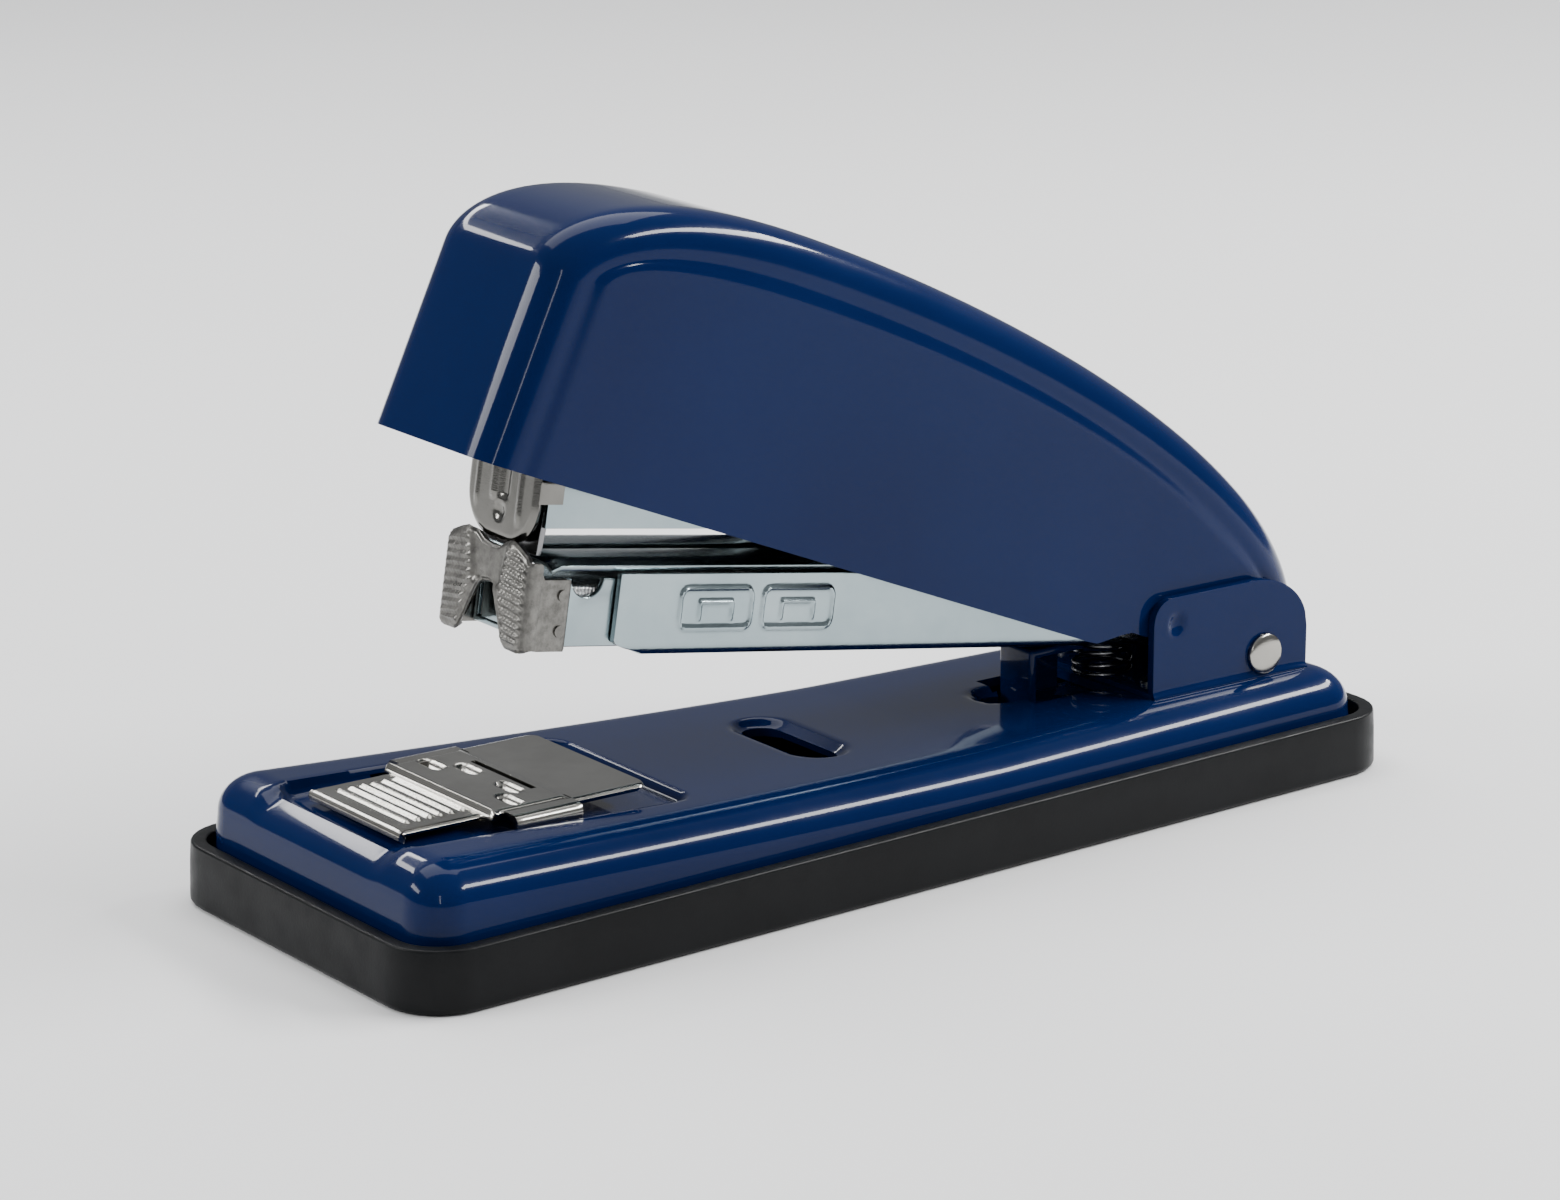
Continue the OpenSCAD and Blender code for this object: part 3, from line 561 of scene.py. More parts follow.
def roundedBox(x, y, x0, x1, half, r):  # distance from a rectangle with round corners
    qx = np.abs(x - (x0 + x1) / 2) - (x1 - x0) / 2 + r
    qy = np.abs(y) - half + r
    return np.hypot(np.maximum(qx, 0), np.maximum(qy, 0)) + np.minimum(np.maximum(qx, qy), 0) - r


def openHole(x, y, hole):
    # grid lines round a slot: a rectangle of lines shrinks smoothly on to the slot's own outline
    a, b = hole["half"]
    w, l = hole["size"]
    u, v = x - hole["x"], y
    rho = np.maximum(np.abs(u) / a, np.abs(v) / b)
    near = (rho < 1) & (rho > 1e-6)
    safe = np.where(rho > 1e-6, rho, 1)
    angle = np.arctan2(np.abs(v), np.abs(u))
    c, s = np.cos(angle), np.sin(angle)
    e = (l - w) / 2
    reachSide = w / 2 / np.maximum(c, 1e-9)
    reachEnd = e * s + np.sqrt(np.maximum((w / 2) ** 2 - (e * c) ** 2, 0))
    reach = np.where(reachSide * s <= e, reachSide, reachEnd)
    t = np.clip((rho - 0.5) / 0.5, 0, 1)
    inside = rho / 0.5
    moved = []
    for part, turn in ((u, c), (v, s)):
        rim = reach * turn * np.sign(part)
        moved.append(np.where(rho >= 0.5, (1 - t) * rim + t * part / safe, rim * inside))
    return np.where(near, hole["x"] + moved[0], x), np.where(near, moved[1], y)


def shellHeight(x):  # level behind x = 12, then up to the nose with the share of the way to a power
    rear = box("hinge_bracket")[0][2]
    far = trayEnd - shell["inset"] + 12
    u = np.clip((12 - x) / far, 0, 1)
    return rear + (shellFront - rear) * u ** shell["slope"]


shellFront = box("base_shell")[1][2]
recess = {
    "x0": -trayEnd + 6.6,
    "x1": pin[0] - ahead["recessEnd"],
    "half": 15.2,
    "floor": shellFront - 2,
    "step": 1.3,
    "corner": 3.2,
}
tabSlots = {"x0": bladeX - 7.6, "x1": bladeX + 6.9, "y0": 12.9, "y1": 14.5}
postX = pin[0] - ahead["post"]
window = {"x0": postX - 5.8, "x1": postX + 6.2, "half": 6}


def pressed(x, y, z):
    # heights with the recess, the lowered front lip and the dished holes, each one its depth times
    # smooth(distance inside its outline / its width)
    inside = -roundedBox(x, y, recess["x0"], recess["x1"], recess["half"], recess["corner"])
    t = smooth(inside / recess["step"])
    z = z * (1 - t) + np.minimum(z - 1.3, recess["floor"]) * t
    lip = smooth((shell["lipHalf"] - np.abs(y)) / 3.6) * smooth((recess["x0"] + 1.0 - x) / 1.2)
    z = z - lip * shell["lipDrop"] * smooth((z - recess["floor"] + 3.5) / 4.0)
    depth, width = shell["dish"]
    for hole in (slotHole, roundHole):
        z = z - depth * smooth(1 - stadium(x, y, hole) / width)
    return z


def makeBaseShell():
    # a level grid with its holes drawn in, and a rim round it: inwards e (1 - cos a), down
    # d (1 - sin a), where the pressing fades out as the rim falls
    s = shell
    inner = s["inset"] + s["flat"]
    end = trayEnd - inner
    hx, hy = slotHole["half"]
    rx, ry = roundHole["half"]
    xs = stops(-end, 22, tabSlots["x0"], 24, tabSlots["x1"], 22, recess["x1"] - 2,
               12, recess["x1"] + 1, 16, slotHole["x"] - hx, 16, slotHole["x"] + hx, 22,
               roundHole["x"] - rx, 12, roundHole["x"] + rx, 4, window["x1"], 20, end)
    sideEnd = trayFront - inner
    half = stops(0, 4, ry / 2, 4, ry, 3, hy / 2, 6, 8.6, 6, hy, 6, tabSlots["y0"], 4, tabSlots["y1"], 8,
                 sideEnd)
    ys = np.concatenate([-half[:0:-1], half])
    gx, gy = np.meshgrid(xs, ys, indexing="ij")
    span = np.interp(gx, [-end, end], [trayFront - inner, trayRear - inner])
    drawn = []
    for kept in s["keepRow"]:  # rows past the kept width are drawn in to the tapering side
        outer = np.sign(gy) * (kept + (np.abs(gy) - kept) * (span - kept) / (sideEnd - kept))
        drawn.append(np.where(np.abs(gy) <= kept, gy, outer))
    w = smooth((gx - recess["x1"] - 1) / 14)
    gy = drawn[0] * (1 - w) + drawn[1] * w
    for hole in (slotHole, roundHole):
        gx, gy = openHole(gx, gy, hole)
    top = grid(gx, gy, pressed(gx, gy, shellHeight(gx)))

    def keep(c):
        out = (stadium(c[:, 0], c[:, 1], slotHole) > 0) & (stadium(c[:, 0], c[:, 1], roundHole) > 0)
        tab = (c[:, 0] > tabSlots["x0"]) & (c[:, 0] < tabSlots["x1"])
        tab &= (np.abs(c[:, 1]) > tabSlots["y0"]) & (np.abs(c[:, 1]) < tabSlots["y1"])
        post = roundedBox(c[:, 0], c[:, 1], window["x0"], window["x1"], window["half"], 0.5) < 0
        return out & ~tab & ~post

    along = (xs + end) / (2 * end)
    across = np.interp(ys, [-sideEnd, sideEnd], [0, 1])
    phi = np.linspace(0, math.pi / 2, 12)
    profile = [(0.12, -s["drop"] - 2.2), (0.3, -s["drop"] - 0.6)]
    profile += [(0.35 + s["edge"] * (1 - math.cos(a)), -s["drop"] * (1 - math.sin(a))) for a in phi]
    profile += [(s["flat"], 0)]
    foot = ring(s["inset"], s["corner"], along, across)
    rings = [grid(foot[:, 0], foot[:, 1], s["low"])]
    for inset, down in profile:
        corner = s["corner"] * max(1 - inset / s["flat"], 0)
        plan = ring(s["inset"] + inset, corner, along, across)
        z = shellHeight(plan[:, 0])
        zTop = pressed(plan[:, 0], plan[:, 1], z)
        fade = smooth(1 + down / s["drop"])
        rings.append(grid(plan[:, 0], plan[:, 1], z + down + (zTop - z) * fade))
    edge = np.stack(rings)
    obj = piece("baseShell", [top[::-1], (edge, False, True)], wall=s["sheet"], keep=keep, sharp=38)
    place(obj, "base", "blue_lacquer", blueLacquer, "base_shell")


makeBaseShell()
print("base shell made")

anvilShape = {
    "grip": 10.0,  # half widths along the plate
    "ridge": 11.8,
    "middle": 11.4,
    "rear": 12.4,
    "ribs": 6,
    "pitch": 1.55,
    "rib": 0.36,
    "sheet": 0.9,
    "pocket": 0.75,
    "pockets": ((0, 4.4), (-2.6, 8.4)),  # their middles: x from the blade's line, distance from the middle
    "heights": (1.9, 2.4, 2.2),  # grip, middle and rear over the recess's floor
    "ridgeX": -6.9,  # ridge, seam and tabs from the blade's line
    "seamX": 3.0,
    "tabX": (-5.2, 4),
    "seamSlot": (-1.3, -0.5, 6.6),  # the cross slot in front of the seam: from, to, half width
    "roll": 0.75,  # radius of the rolled front edge
    "tabBend": 1.1,
}


def makeAnvil():
    # height and half width change with smooth steps along the plate; the ribs are a cosine with its
    # lower half cut off, to the power 1.5; each pocket is its depth times smooth(1.25 - distance)
    d = anvilShape
    lo, hi = box("anvil_plate")
    front, rear = lo[0] + 0.3, hi[0]
    ridge, seam = bladeX + d["ridgeX"], bladeX + d["seamX"]
    level = recess["floor"]
    zGrip, zMiddle, zRear = (level + h for h in d["heights"])
    a = np.linspace(-math.pi / 2, math.pi / 2, 9)[:-1]
    rollX = front + d["roll"] - d["roll"] * np.cos(a)
    rollZ = zGrip - d["roll"] + d["roll"] * np.sin(a)
    slotFrom, slotTo, slotHalf = d["seamSlot"]
    xs = stops(front + d["roll"], 44, ridge - 0.5, 10, ridge + 0.7, 30, seam + slotFrom, 3, seam + slotTo, 6,
               seam + 0.3, 20, rear - 1.2, 6, rear)
    ribStart = front + 2.8
    phase = (xs - ribStart) / d["pitch"]
    onRibs = smooth((phase + 0.45) * 4) * smooth((d["ribs"] - 0.55 - phase) * 4)
    crest = d["rib"] * np.maximum(np.cos(2 * math.pi * phase), 0) ** 1.5 * onRibs
    z = zGrip + (zMiddle - zGrip + 0.25) * smooth((xs - ridge + 0.4) / 0.5)
    z = z - 0.25 * smooth((xs - ridge - 0.1) / 0.6) + (zRear - zMiddle) * smooth((xs - seam) / 0.6)
    half = d["grip"] + (d["ridge"] - d["grip"]) * smooth((xs - ridge + 0.6) / 0.25)
    half = half - (d["ridge"] - d["middle"]) * smooth((xs - ridge - 0.7) / 0.3)
    half = half + (d["rear"] - d["middle"]) * smooth((xs - seam) / 0.5)
    half = half - 1.0 * (1 - np.sqrt(1 - np.clip((xs - rear + 1.2) / 1.2, 0, 1) ** 2))
    v = stops(-1, 3, -0.93, 10, -slotHalf / d["middle"], 40, slotHalf / d["middle"], 10, 0.93, 3, 1)
    gx = xs[:, None] + 0 * v
    gy = half[:, None] * v
    edge = smooth((d["grip"] - 1.8 - np.abs(gy)) / 0.7)
    gz = z[:, None] + crest[:, None] * edge
    for s in (-1, 1):
        for px, py in d["pockets"]:
            u = np.hypot((gx - bladeX - px) / 0.85, np.maximum(np.abs(gy - s * py) - 1.7, 0) / 0.6)
            gz = gz - d["pocket"] * smooth(1.25 - u)
    gz = gz - 0.35 * smooth((np.abs(v) - 0.955) / 0.045) ** 2
    roll = grid(rollX[:, None], v * d["grip"], rollZ[:, None] + 0 * v)
    sheet = np.concatenate([roll, grid(gx, gy, gz)])

    def keep(c):
        seamSlot = (c[:, 0] > seam + slotFrom) & (c[:, 0] < seam + slotTo) & (np.abs(c[:, 1]) < slotHalf)
        return ~seamSlot

    outer, b = hi[1], d["tabBend"]
    bend = np.linspace(0, math.pi / 2, 8)
    sy = np.concatenate([[d["middle"] - 1.2], outer - b + b * np.sin(bend), [outer] * 3])
    sz = np.concatenate([[zRear], zRear - b + b * np.cos(bend), [zRear - 2, level - 1, lo[2]]])
    tx = np.linspace(bladeX + d["tabX"][0], bladeX + d["tabX"][1], 12)[:, None]
    tab = grid(tx, sy[None], sz[None])
    sheets = [sheet[::-1], tab[::-1], tab * mirror]
    obj = piece("anvilPlate", sheets, wall=d["sheet"], keep=keep, bevel=0.12, sharp=50)
    place(obj, "anvil", "nickel", nickelBase, "anvil_plate")


makeAnvil()
print("anvil made")

bracket = {
    "corner": 3.2,
    "dent": (3.8, 3.6, 0.4, 1.1),  # from the front, under the top, depth, radius
    "foot": 0.35,  # the ear flares out this much at its foot
    "fall": ((-2, 0), (3, 0), (None, -3), (None, 5.5)),  # behind the pin: x from it, z from top or foot
    "open": 11.5,  # the floor ends this far in front of the rear
    "sheet": 1.1,
}


def makeHingeBracket():
    # each ear is a sheet between its foot and a top line: round front corner, level, then a cubic
    # fall; the dent is its depth times smooth(1.5 - distance / radius)
    d = bracket
    lo, hi = box("hinge_bracket")
    z0, top, half = lo[2], hi[2], hi[1]
    front, rear = lo[0], hi[0]
    r = d["corner"]
    fallX, fallZ = zip(*d["fall"])
    start = pin[0] + fallX[0]
    px = stops(front, 14, front + r, 26, start, 30, rear)
    corner = np.clip((front + r - px) / r, 0, 1)
    fall = bezier([(start, top), (pin[0] + fallX[1], top), (rear, top + fallZ[2]), (rear, z0 + fallZ[3])], 40)
    tops = np.where(px > start, np.interp(px, fall[:, 0], fall[:, 1]), top)
    tops = tops - r * (1 - np.sqrt(1 - corner ** 2))
    v = stops(0, 4, 0.06, 2, 0.12, 20, 1)[:, None]
    gz = z0 + v * (tops - z0)[None]
    gx = px[None] + 0 * gz
    behind, under, depth, size = d["dent"]
    dent = depth * smooth(1.5 - np.hypot(gx - front - behind, gz - top + under) / size)
    foot = d["foot"] * (1 - smooth(v / 0.08))
    ear = grid(gx, half + foot - dent, gz)
    ears = [ear[::-1], ear * mirror]
    floorX = np.linspace(front, rear - d["open"], 12)
    floorY = np.linspace(-half + 0.3, half - 0.3, 12)
    plate = grid(floorX[:, None], floorY[None], z0 + 0.62)[::-1]
    obj = piece("hingeBracket", ears + [plate], wall=d["sheet"], bevel=0.22, sharp=45)
    place(obj, "base", "blue_lacquer", blueLacquer, "hinge_bracket")


makeHingeBracket()
soft("stopPost", "stop_post", 0.45, "base", "blue_lacquer", blueLacquer)


def onPoint(sheet, centre, axis):  # stands a lathed form on a point, its height along the axis
    pts, ru, rv = sheet
    axis = np.array(axis, float)
    side = np.cross(axis, [1, 0, 0] if abs(axis[0]) < 0.9 else [0, 1, 0])
    side /= np.linalg.norm(side)
    other = np.cross(axis, side)
    out = np.array(centre) + pts[..., :1] * side + pts[..., 1:2] * other + pts[..., 2:] * axis
    return out, ru, rv


pinShape = {
    "shaft": 1.9,
    "bulge": 0.55,
    "under": (0.9, 0.95),  # the head's underside, from the end
}


def makeHingePin():
    lo, hi = box("hinge_pin")
    d = pinShape
    head, end = (hi[2] - lo[2]) / 2, hi[1]
    profile = [(x, end - d["bulge"] + z) for x, z in dome(head, d["bulge"], 10)]
    profile += [(head, end - d["under"][0]), (d["shaft"], end - d["under"][1]), (d["shaft"], 0)]
    sheets = []
    for side in (1, -1):
        pts, _, _ = onPoint(lathe(profile, 48), (pin[0], 0, pin[2]), (0, side, 0))
        sheets.append((pts[::-1], False, True))
    obj = piece("hingePin", sheets, sharp=40)
    place(obj, "base", "nickel", nickelBase, "hinge_pin")


makeHingePin()
print("hinge made")

channel = {
    "bend": 1.3,  # outside radius of the lower edges
    "frames": ((-90.5, -79.9), (-78.2, -67.6)),
    "frameZ": (3.2, 8.1),
    "frameCorner": 1.1,
    "line": 0.28,  # how far the frames stand out
    "soft": 0.42,  # half the width of their lines
    "legs": (2.4, 5.4, 1.0),  # the outline of a staple: legs from the middle, their height, half length
    "crown": 6.4,
    "cutBack": (4.8, 1.2, 1.9),  # the front edge stands back under the bend, and less above it
    "tail": 8,  # the floor ends this far in front of the pin
    "eye": (0.8, 0.15),
    "postRoom": (-33, -20.4, 4.4),  # window over the stop post: front, rear, half width
}


def makeOuterChannel():
    # a U section carried from its front to its rear edge; on the sides the frames stand out by
    # line times smooth(1 - distance from the line / soft)
    lo, hi = box("outer_channel", magTilt)
    half, top, low = hi[1], hi[2], -0.1
    front, rear = lo[0], hi[0]
    r = channel["bend"]
    a = np.linspace(0, math.pi / 2, 7)
    sideZ = stops(top, 3, top - 0.6, 26, low + r)
    sy = np.concatenate([np.full(len(sideZ), -half), (-half + r - r * np.cos(a))[1:]])
    sz = np.concatenate([sideZ, (low + r - r * np.sin(a))[1:]])
    middle = np.linspace(-half + r, half - r, 12)[1:-1]
    sy = np.concatenate([sy, middle, -sy[::-1]])
    sz = np.concatenate([sz, np.full(len(middle), low), sz[::-1]])
    under = smooth((low + r - sz) / r)
    deep, slight, above = channel["cutBack"]
    xFront = front + deep * under + slight * smooth((low + above - sz) / slight) * (1 - under)
    reachRear = np.where(sz < 5, rear, np.interp(sz, [5, top - 1, top], [rear, 0, -3]))
    xRear = reachRear * (1 - under) - channel["tail"] * under
    v = stops(0, 2, 0.01, 8, 0.07, 190, 0.45, 60, 0.995, 1, 1)[:, None]
    gx = xFront[None] + v * (xRear - xFront)[None]
    gz = sz[None] + 0 * v
    flat = np.abs(sy) > half - 0.01
    relief = np.zeros_like(gx)
    blur = channel["soft"]
    legOut, legZ, legHalf = channel["legs"]
    z0, z1 = channel["frameZ"]
    for x0, x1 in channel["frames"]:
        q = roundedBox(gx, gz - (z0 + z1) / 2, x0, x1, (z1 - z0) / 2, channel["frameCorner"])
        lines = [np.abs(q)]
        mx = (x0 + x1) / 2
        for dx in (-legOut, legOut):  # a staple's outline inside each frame
            lines.append(np.hypot(gx - mx - dx, np.maximum(np.abs(gz - legZ) - legHalf, 0)))
        lines.append(np.hypot(np.maximum(np.abs(gx - mx) - legOut, 0), gz - channel["crown"]))
        for distance in lines:
            relief = np.maximum(relief, smooth(1.0 - distance / blur))
    gy = sy[None] + np.sign(sy)[None] * channel["line"] * relief * flat[None]
    sheet = grid(gx, gy, gz)
    rings = []
    for s in (-1, 1):  # the eyes round the pin
        t, c = channel["eye"]
        eye = [(1e-3, t), (rear - c, t), (rear, t - c), (rear, 0.0), (1e-3, 0.0)]
        pts, _, _ = onPoint(lathe(eye, 32), (0, s * (half - t - 0.01), 0), (0, s, 0))
        rings.append((pts[::-1], False, True))

    def keep(c):
        x0, x1, y = channel["postRoom"]
        return ~((c[:, 0] > x0) & (c[:, 0] < x1) & (np.abs(c[:, 1]) < y))

    body = piece("outerChannel", [sheet], magTilt, wall=0.8, bevel=0.1, keep=keep, sharp=50)
    place(body, "magazine", "nickel", nickelMagazine, "outer_channel")
    eyes = piece("channelEyes", rings, magTilt, sharp=45)
    place(eyes, "magazine", "nickel", nickelMagazine)


makeOuterChannel()


topStrip = {
    "crown": 0.45,
    "groove": (0.55, 1.15),  # depth and half width
    "fall": (0.2, 0.5),  # at the sides
    "nose": (0.5, 1.2),  # the front edge bends down: depth, length
    "sheet": 0.75,
}


def makeTopStrip():
    # one section along the strip: a crown, less a groove in the middle and a fall at each side
    d = topStrip
    lo, hi = box("top_strip", magTilt)
    half = hi[1] - 0.05
    flat = lo[2] + 0.8
    grooveDeep, grooveHalf = d["groove"]
    sideDeep, side = d["fall"]
    noseDeep, nose = d["nose"]
    y = stops(-half, 2, -half + side, 16, -1.0, 6, 0, 6, 1.0, 16, half - side, 2, half)
    crown = d["crown"] * smooth((half - 0.6 - np.abs(y)) / 0.7)
    crown = crown * (0.75 + 0.25 * np.cos((np.abs(y) - 4) / 3.4 * 1.5))
    groove = grooveDeep * smooth((grooveHalf - np.abs(y)) / 0.5)
    z = flat + crown - groove - sideDeep * smooth((np.abs(y) - half + side) / side)
    x = stops(lo[0], 2, lo[0] + nose, 30, hi[0])
    bend = noseDeep * smooth((lo[0] + nose - x) / nose)
    sheet = grid(x[:, None], y[None], z[None] - bend[:, None])
    obj = piece("topStrip", [sheet], magTilt, wall=d["sheet"], bevel=0.1, sharp=50)
    place(obj, "magazine", "nickel", nickelMagazine, "top_strip")


makeTopStrip()
soft("upperFrame", "upper_frame", 0.28, "magazine", "nickel", nickelMagazine)

frontPlate = {
    "radius": 5.4,
    "half": 7.4,
    "sheet": 0.7,
    "before": 1.8,  # the face stands this far in front of the blade's line
    "rim": (0.5, 0.9),  # its edge falls back: depth, width
    # ribs: height, y, half width, where it begins above the lower edge, over what length it rises
    "ribs": ((0.4, 1.55, 0.75, 4.6, 0.8), (0.28, -4.0, 0.6, 2.2, 1.4), (0.24, 5.0, 0.5, 3.0, 1.4)),
    "slot": (-1.3, 0.1),
    "slotDeep": 0.32,
    "pit": (-0.1, 3.3, 0.85),  # y, height, radius
    "flange": 3.4,
}


def makeFrontPlate():
    # a round-ended plate whose edge falls back, with three ribs, a slot and a pit; each is its own
    # height times smooth(1 - distance / half width), and the ribs and the slot fade in upwards
    d = frontPlate
    lo, hi = box("front_plate", magTilt)
    half, low, high = d["half"], lo[2], hi[2]
    face = -ahead["blade"] - d["before"]
    r = d["radius"]
    bend = low + r * (1 - np.cos(np.linspace(0.06, math.pi / 2, 22)))
    z = np.concatenate([bend, np.linspace(low + r, high, 26)[1:]])
    sides = half - r + np.sqrt(np.maximum(r ** 2 - np.maximum(low + r - z, 0) ** 2, 0))
    v = stops(-1, 6, -0.8, 50, 0.8, 6, 1)
    gy = sides[:, None] * v
    gz = z[:, None] + 0 * v
    corner = r - np.hypot(np.maximum(np.abs(gy) - half + r, 0), low + r - gz)
    inside = np.where(gz < low + r, corner, half - np.abs(gy))
    rimDeep, rimWide = d["rim"]
    push = rimDeep * (1 - smooth(inside / rimWide)) ** 1.4
    ribs = 0
    for height, y, wide, start, rise in d["ribs"]:
        ribs = ribs + height * smooth(1 - np.abs(gy - y) / wide) * smooth((gz - low - start) / rise)
    s0, s1 = d["slot"]
    slot = smooth(1.35 - np.abs(gy - (s0 + s1) / 2) / ((s1 - s0) / 2 + 0.25))
    slot = d["slotDeep"] * slot * smooth((gz - low - 4.9) / 0.6)
    pitY, pitZ, pitR = d["pit"]
    pit = d["slotDeep"] * smooth(1.5 - np.hypot(gy - pitY, gz - low - pitZ) / pitR)
    sheet = grid(face + push - ribs + slot + pit, gy, gz)
    t = np.linspace(0, 1, 10)[None]
    zz = np.linspace(low + r + 0.2, high - 0.6, 8)[:, None]
    flangeX = face + 0.45 + t * d["flange"]
    near = grid(flangeX, -half + 0 * t, zz)
    far = grid(flangeX, half + 0 * t, zz)
    sheets = [sheet[::-1], near, far[::-1]]
    obj = piece("frontPlate", sheets, magTilt, wall=d["sheet"], bevel=0.08, sharp=50)
    place(obj, "magazine", "nickel", nickelFront, "front_plate")


makeFrontPlate()
print("magazine made")

clip = {
    "round": 1.1,
    "wingIn": 0.55,  # the wings stand in from the front's edge
    "ridge": 0.3,
    "fine": 0.07,  # finer scores across the ridges
    "pitch": 0.98,
    "finePitch": 0.62,
    "wall": 0.95,
    # the front's upper and lower edge: distance from the middle and height over or under the box;
    # the heights past the last distance belong to the half width
    "upperAt": (0, 1.8, 3.4, 4.8, 6.2),
    "upper": (0.35, 0.6, 1.5, 1.75, 1.3, 0),
    "lowerAt": (0, 1.3, 2.0, 4.7, 5.3),
    "lower": (7.1, 6.9, 5.8, 0.4, 0.05, 0, 0.5),
    "wingTop": 9.25,
    "legs": ((0, 6.5), (4.9, 2.9, 4.3)),  # inner edge of the ridges: heights, distances
}


def makeNoseClip():
    # half a plan from the middle out and round on to the wing, between its lower and upper edge;
    # the ridges are half a cosine wave of the height, the scores one of the distance from the middle
    d = clip
    lo, hi = box("nose_clip", magTilt)
    face, back, half, low, high = lo[0], hi[0], hi[1], lo[2], hi[2]
    r = d["round"]
    wing = half - d["wingIn"]
    n, m = 44, 10  # points on the front and on the wing
    a = np.linspace(0, math.pi / 2, 8)[1:]
    py = np.concatenate([np.linspace(0, half - r, n), half - r + r * np.sin(a), [half, half - 0.1, wing],
                         np.full(m, wing), [wing - 0.25]])
    px = np.concatenate([np.full(n, face), face + r - r * np.cos(a),
                         [face + r + 0.5, face + r + 0.85, face + r + 1.0],
                         np.linspace(face + r + 1.5, back - 0.3, m), [back]])
    upper = np.interp(py[:n], d["upperAt"] + (half,), high + np.array(d["upper"]))
    lower = np.interp(py[:n], d["lowerAt"] + (half - 1.4, half), low + np.array(d["lower"]))
    rest = len(py) - n - 11
    wingTop = np.concatenate([np.full(8, high - 0.1), [high - 0.5, high - 1.2], np.full(rest, d["wingTop"]),
                              [d["wingTop"] - 0.25]])
    wingLow = np.concatenate([np.linspace(low + 0.1, low + 0.6, 8), [low + 0.5, low + 0.4],
                              np.full(rest, low + 0.35), [low + 0.7]])
    zt = np.concatenate([upper, wingTop])
    zb = np.concatenate([lower, wingLow])
    v = stops(0, 3, 0.04, 60, 0.96, 3, 1)[:, None]
    gz = zb[None] + v * (zt - zb)[None]
    gy = py[None] + 0 * v
    (legLow, legMiddle), legOut = d["legs"]
    legEdge = np.interp(gz, [low + legLow, low + legMiddle, high + 1.7], legOut)
    zone = smooth((gy - legEdge) / 0.35) * smooth((half - 0.9 - gy) / 0.3) * smooth((gz - low - 0.9) / 0.4)
    zone = zone * smooth((zt[None] - 0.6 - gz) / 0.4)
    wave = 0.5 + 0.5 * np.cos(2 * math.pi * (gz - low + 0.12 * gy) / d["pitch"])
    fine = 0.5 + 0.5 * np.cos(2 * math.pi * gy / d["finePitch"])
    gx = px[None] - zone * (d["ridge"] * wave + d["fine"] * fine)
    hollow = 0.35 * smooth((legEdge - gy) / 0.8) * smooth((gz - low - 6.4) / 0.8) * (px[None] < face + 0.01)
    rim = np.minimum(v, 1 - v) * (zt - zb)[None]
    gx = gx + hollow + 0.3 * (1 - smooth(rim / 0.5)) * (px[None] < face + 0.6)
    near = grid(gx, -gy, gz)
    far = grid(gx, gy, gz)
    obj = piece("noseClip", [near, far[::-1]], magTilt, wall=d["wall"], bevel=0.1, sharp=50)
    place(obj, "drawer", "cast_zinc", zincCast, "nose_clip")


makeNoseClip()
soft("drawerTray", "drawer", 0.22, "drawer", "nickel", nickelMagazine)
soft("coreRail", "core_rail", 0.18, "drawer", "nickel", nickelMagazine)
soft("pusherShoe", "pusher", 0.2, "pusher", "zinc_plate", zincPlate)
soft("guideRod", "guide_rod", 0.3, "drawer", "zinc_plate", zincPlate)

staples = {
    "pitch": 0.53,
    "wire": 0.5,
    "bend": 0.8,
}


def makeStaples():
    # one bent wire carried along the strip: crown, two round bends and two legs. The wire's section
    # has eight corners
    lo, hi = box("staple_strip", magTilt)
    w = staples["wire"] / 2
    half, low, top = hi[1] - w, lo[2], hi[2] - w
    r = staples["bend"]
    a = np.linspace(0, math.pi / 2, 5)
    out, up = r * np.cos(a), r * np.sin(a)
    y = np.concatenate([[-half, -half], -half + r - out[1:], half - r + up[:-1], [half, half]])
    z = np.concatenate([[low, top - r], top - r + up[1:], top - r + out[:-1], [top - r, low]])
    dy, dz = np.gradient(y), np.gradient(z)
    n = np.hypot(dy, dz)
    ny, nz = -dz / n, dy / n
    ang = np.radians(22.5 + 45 * np.arange(8))
    c, s = w * np.cos(ang) / math.cos(math.pi / 8), w * np.sin(ang) / math.cos(math.pi / 8)
    count = int((hi[0] - lo[0]) / staples["pitch"])
    sheets = []
    for i in range(count):
        x = lo[0] + staples["pitch"] * (i + 0.5)
        ringY = y[:, None] + ny[:, None] * c
        ringZ = z[:, None] + nz[:, None] * c
        tube = grid(x + s[None] + 0 * y[:, None], ringY, ringZ)
        first, last = (np.repeat(end.mean(1, keepdims=True), 8, 1) for end in (tube[:1], tube[-1:]))
        sheets.append((np.concatenate([first, tube, last]), False, True))
    obj = piece("stapleStrip", sheets, magTilt, sharp=50)
    place(obj, "drawer", "staple_wire", stapleWire, "staple_strip")


makeStaples()
print("drawer made")


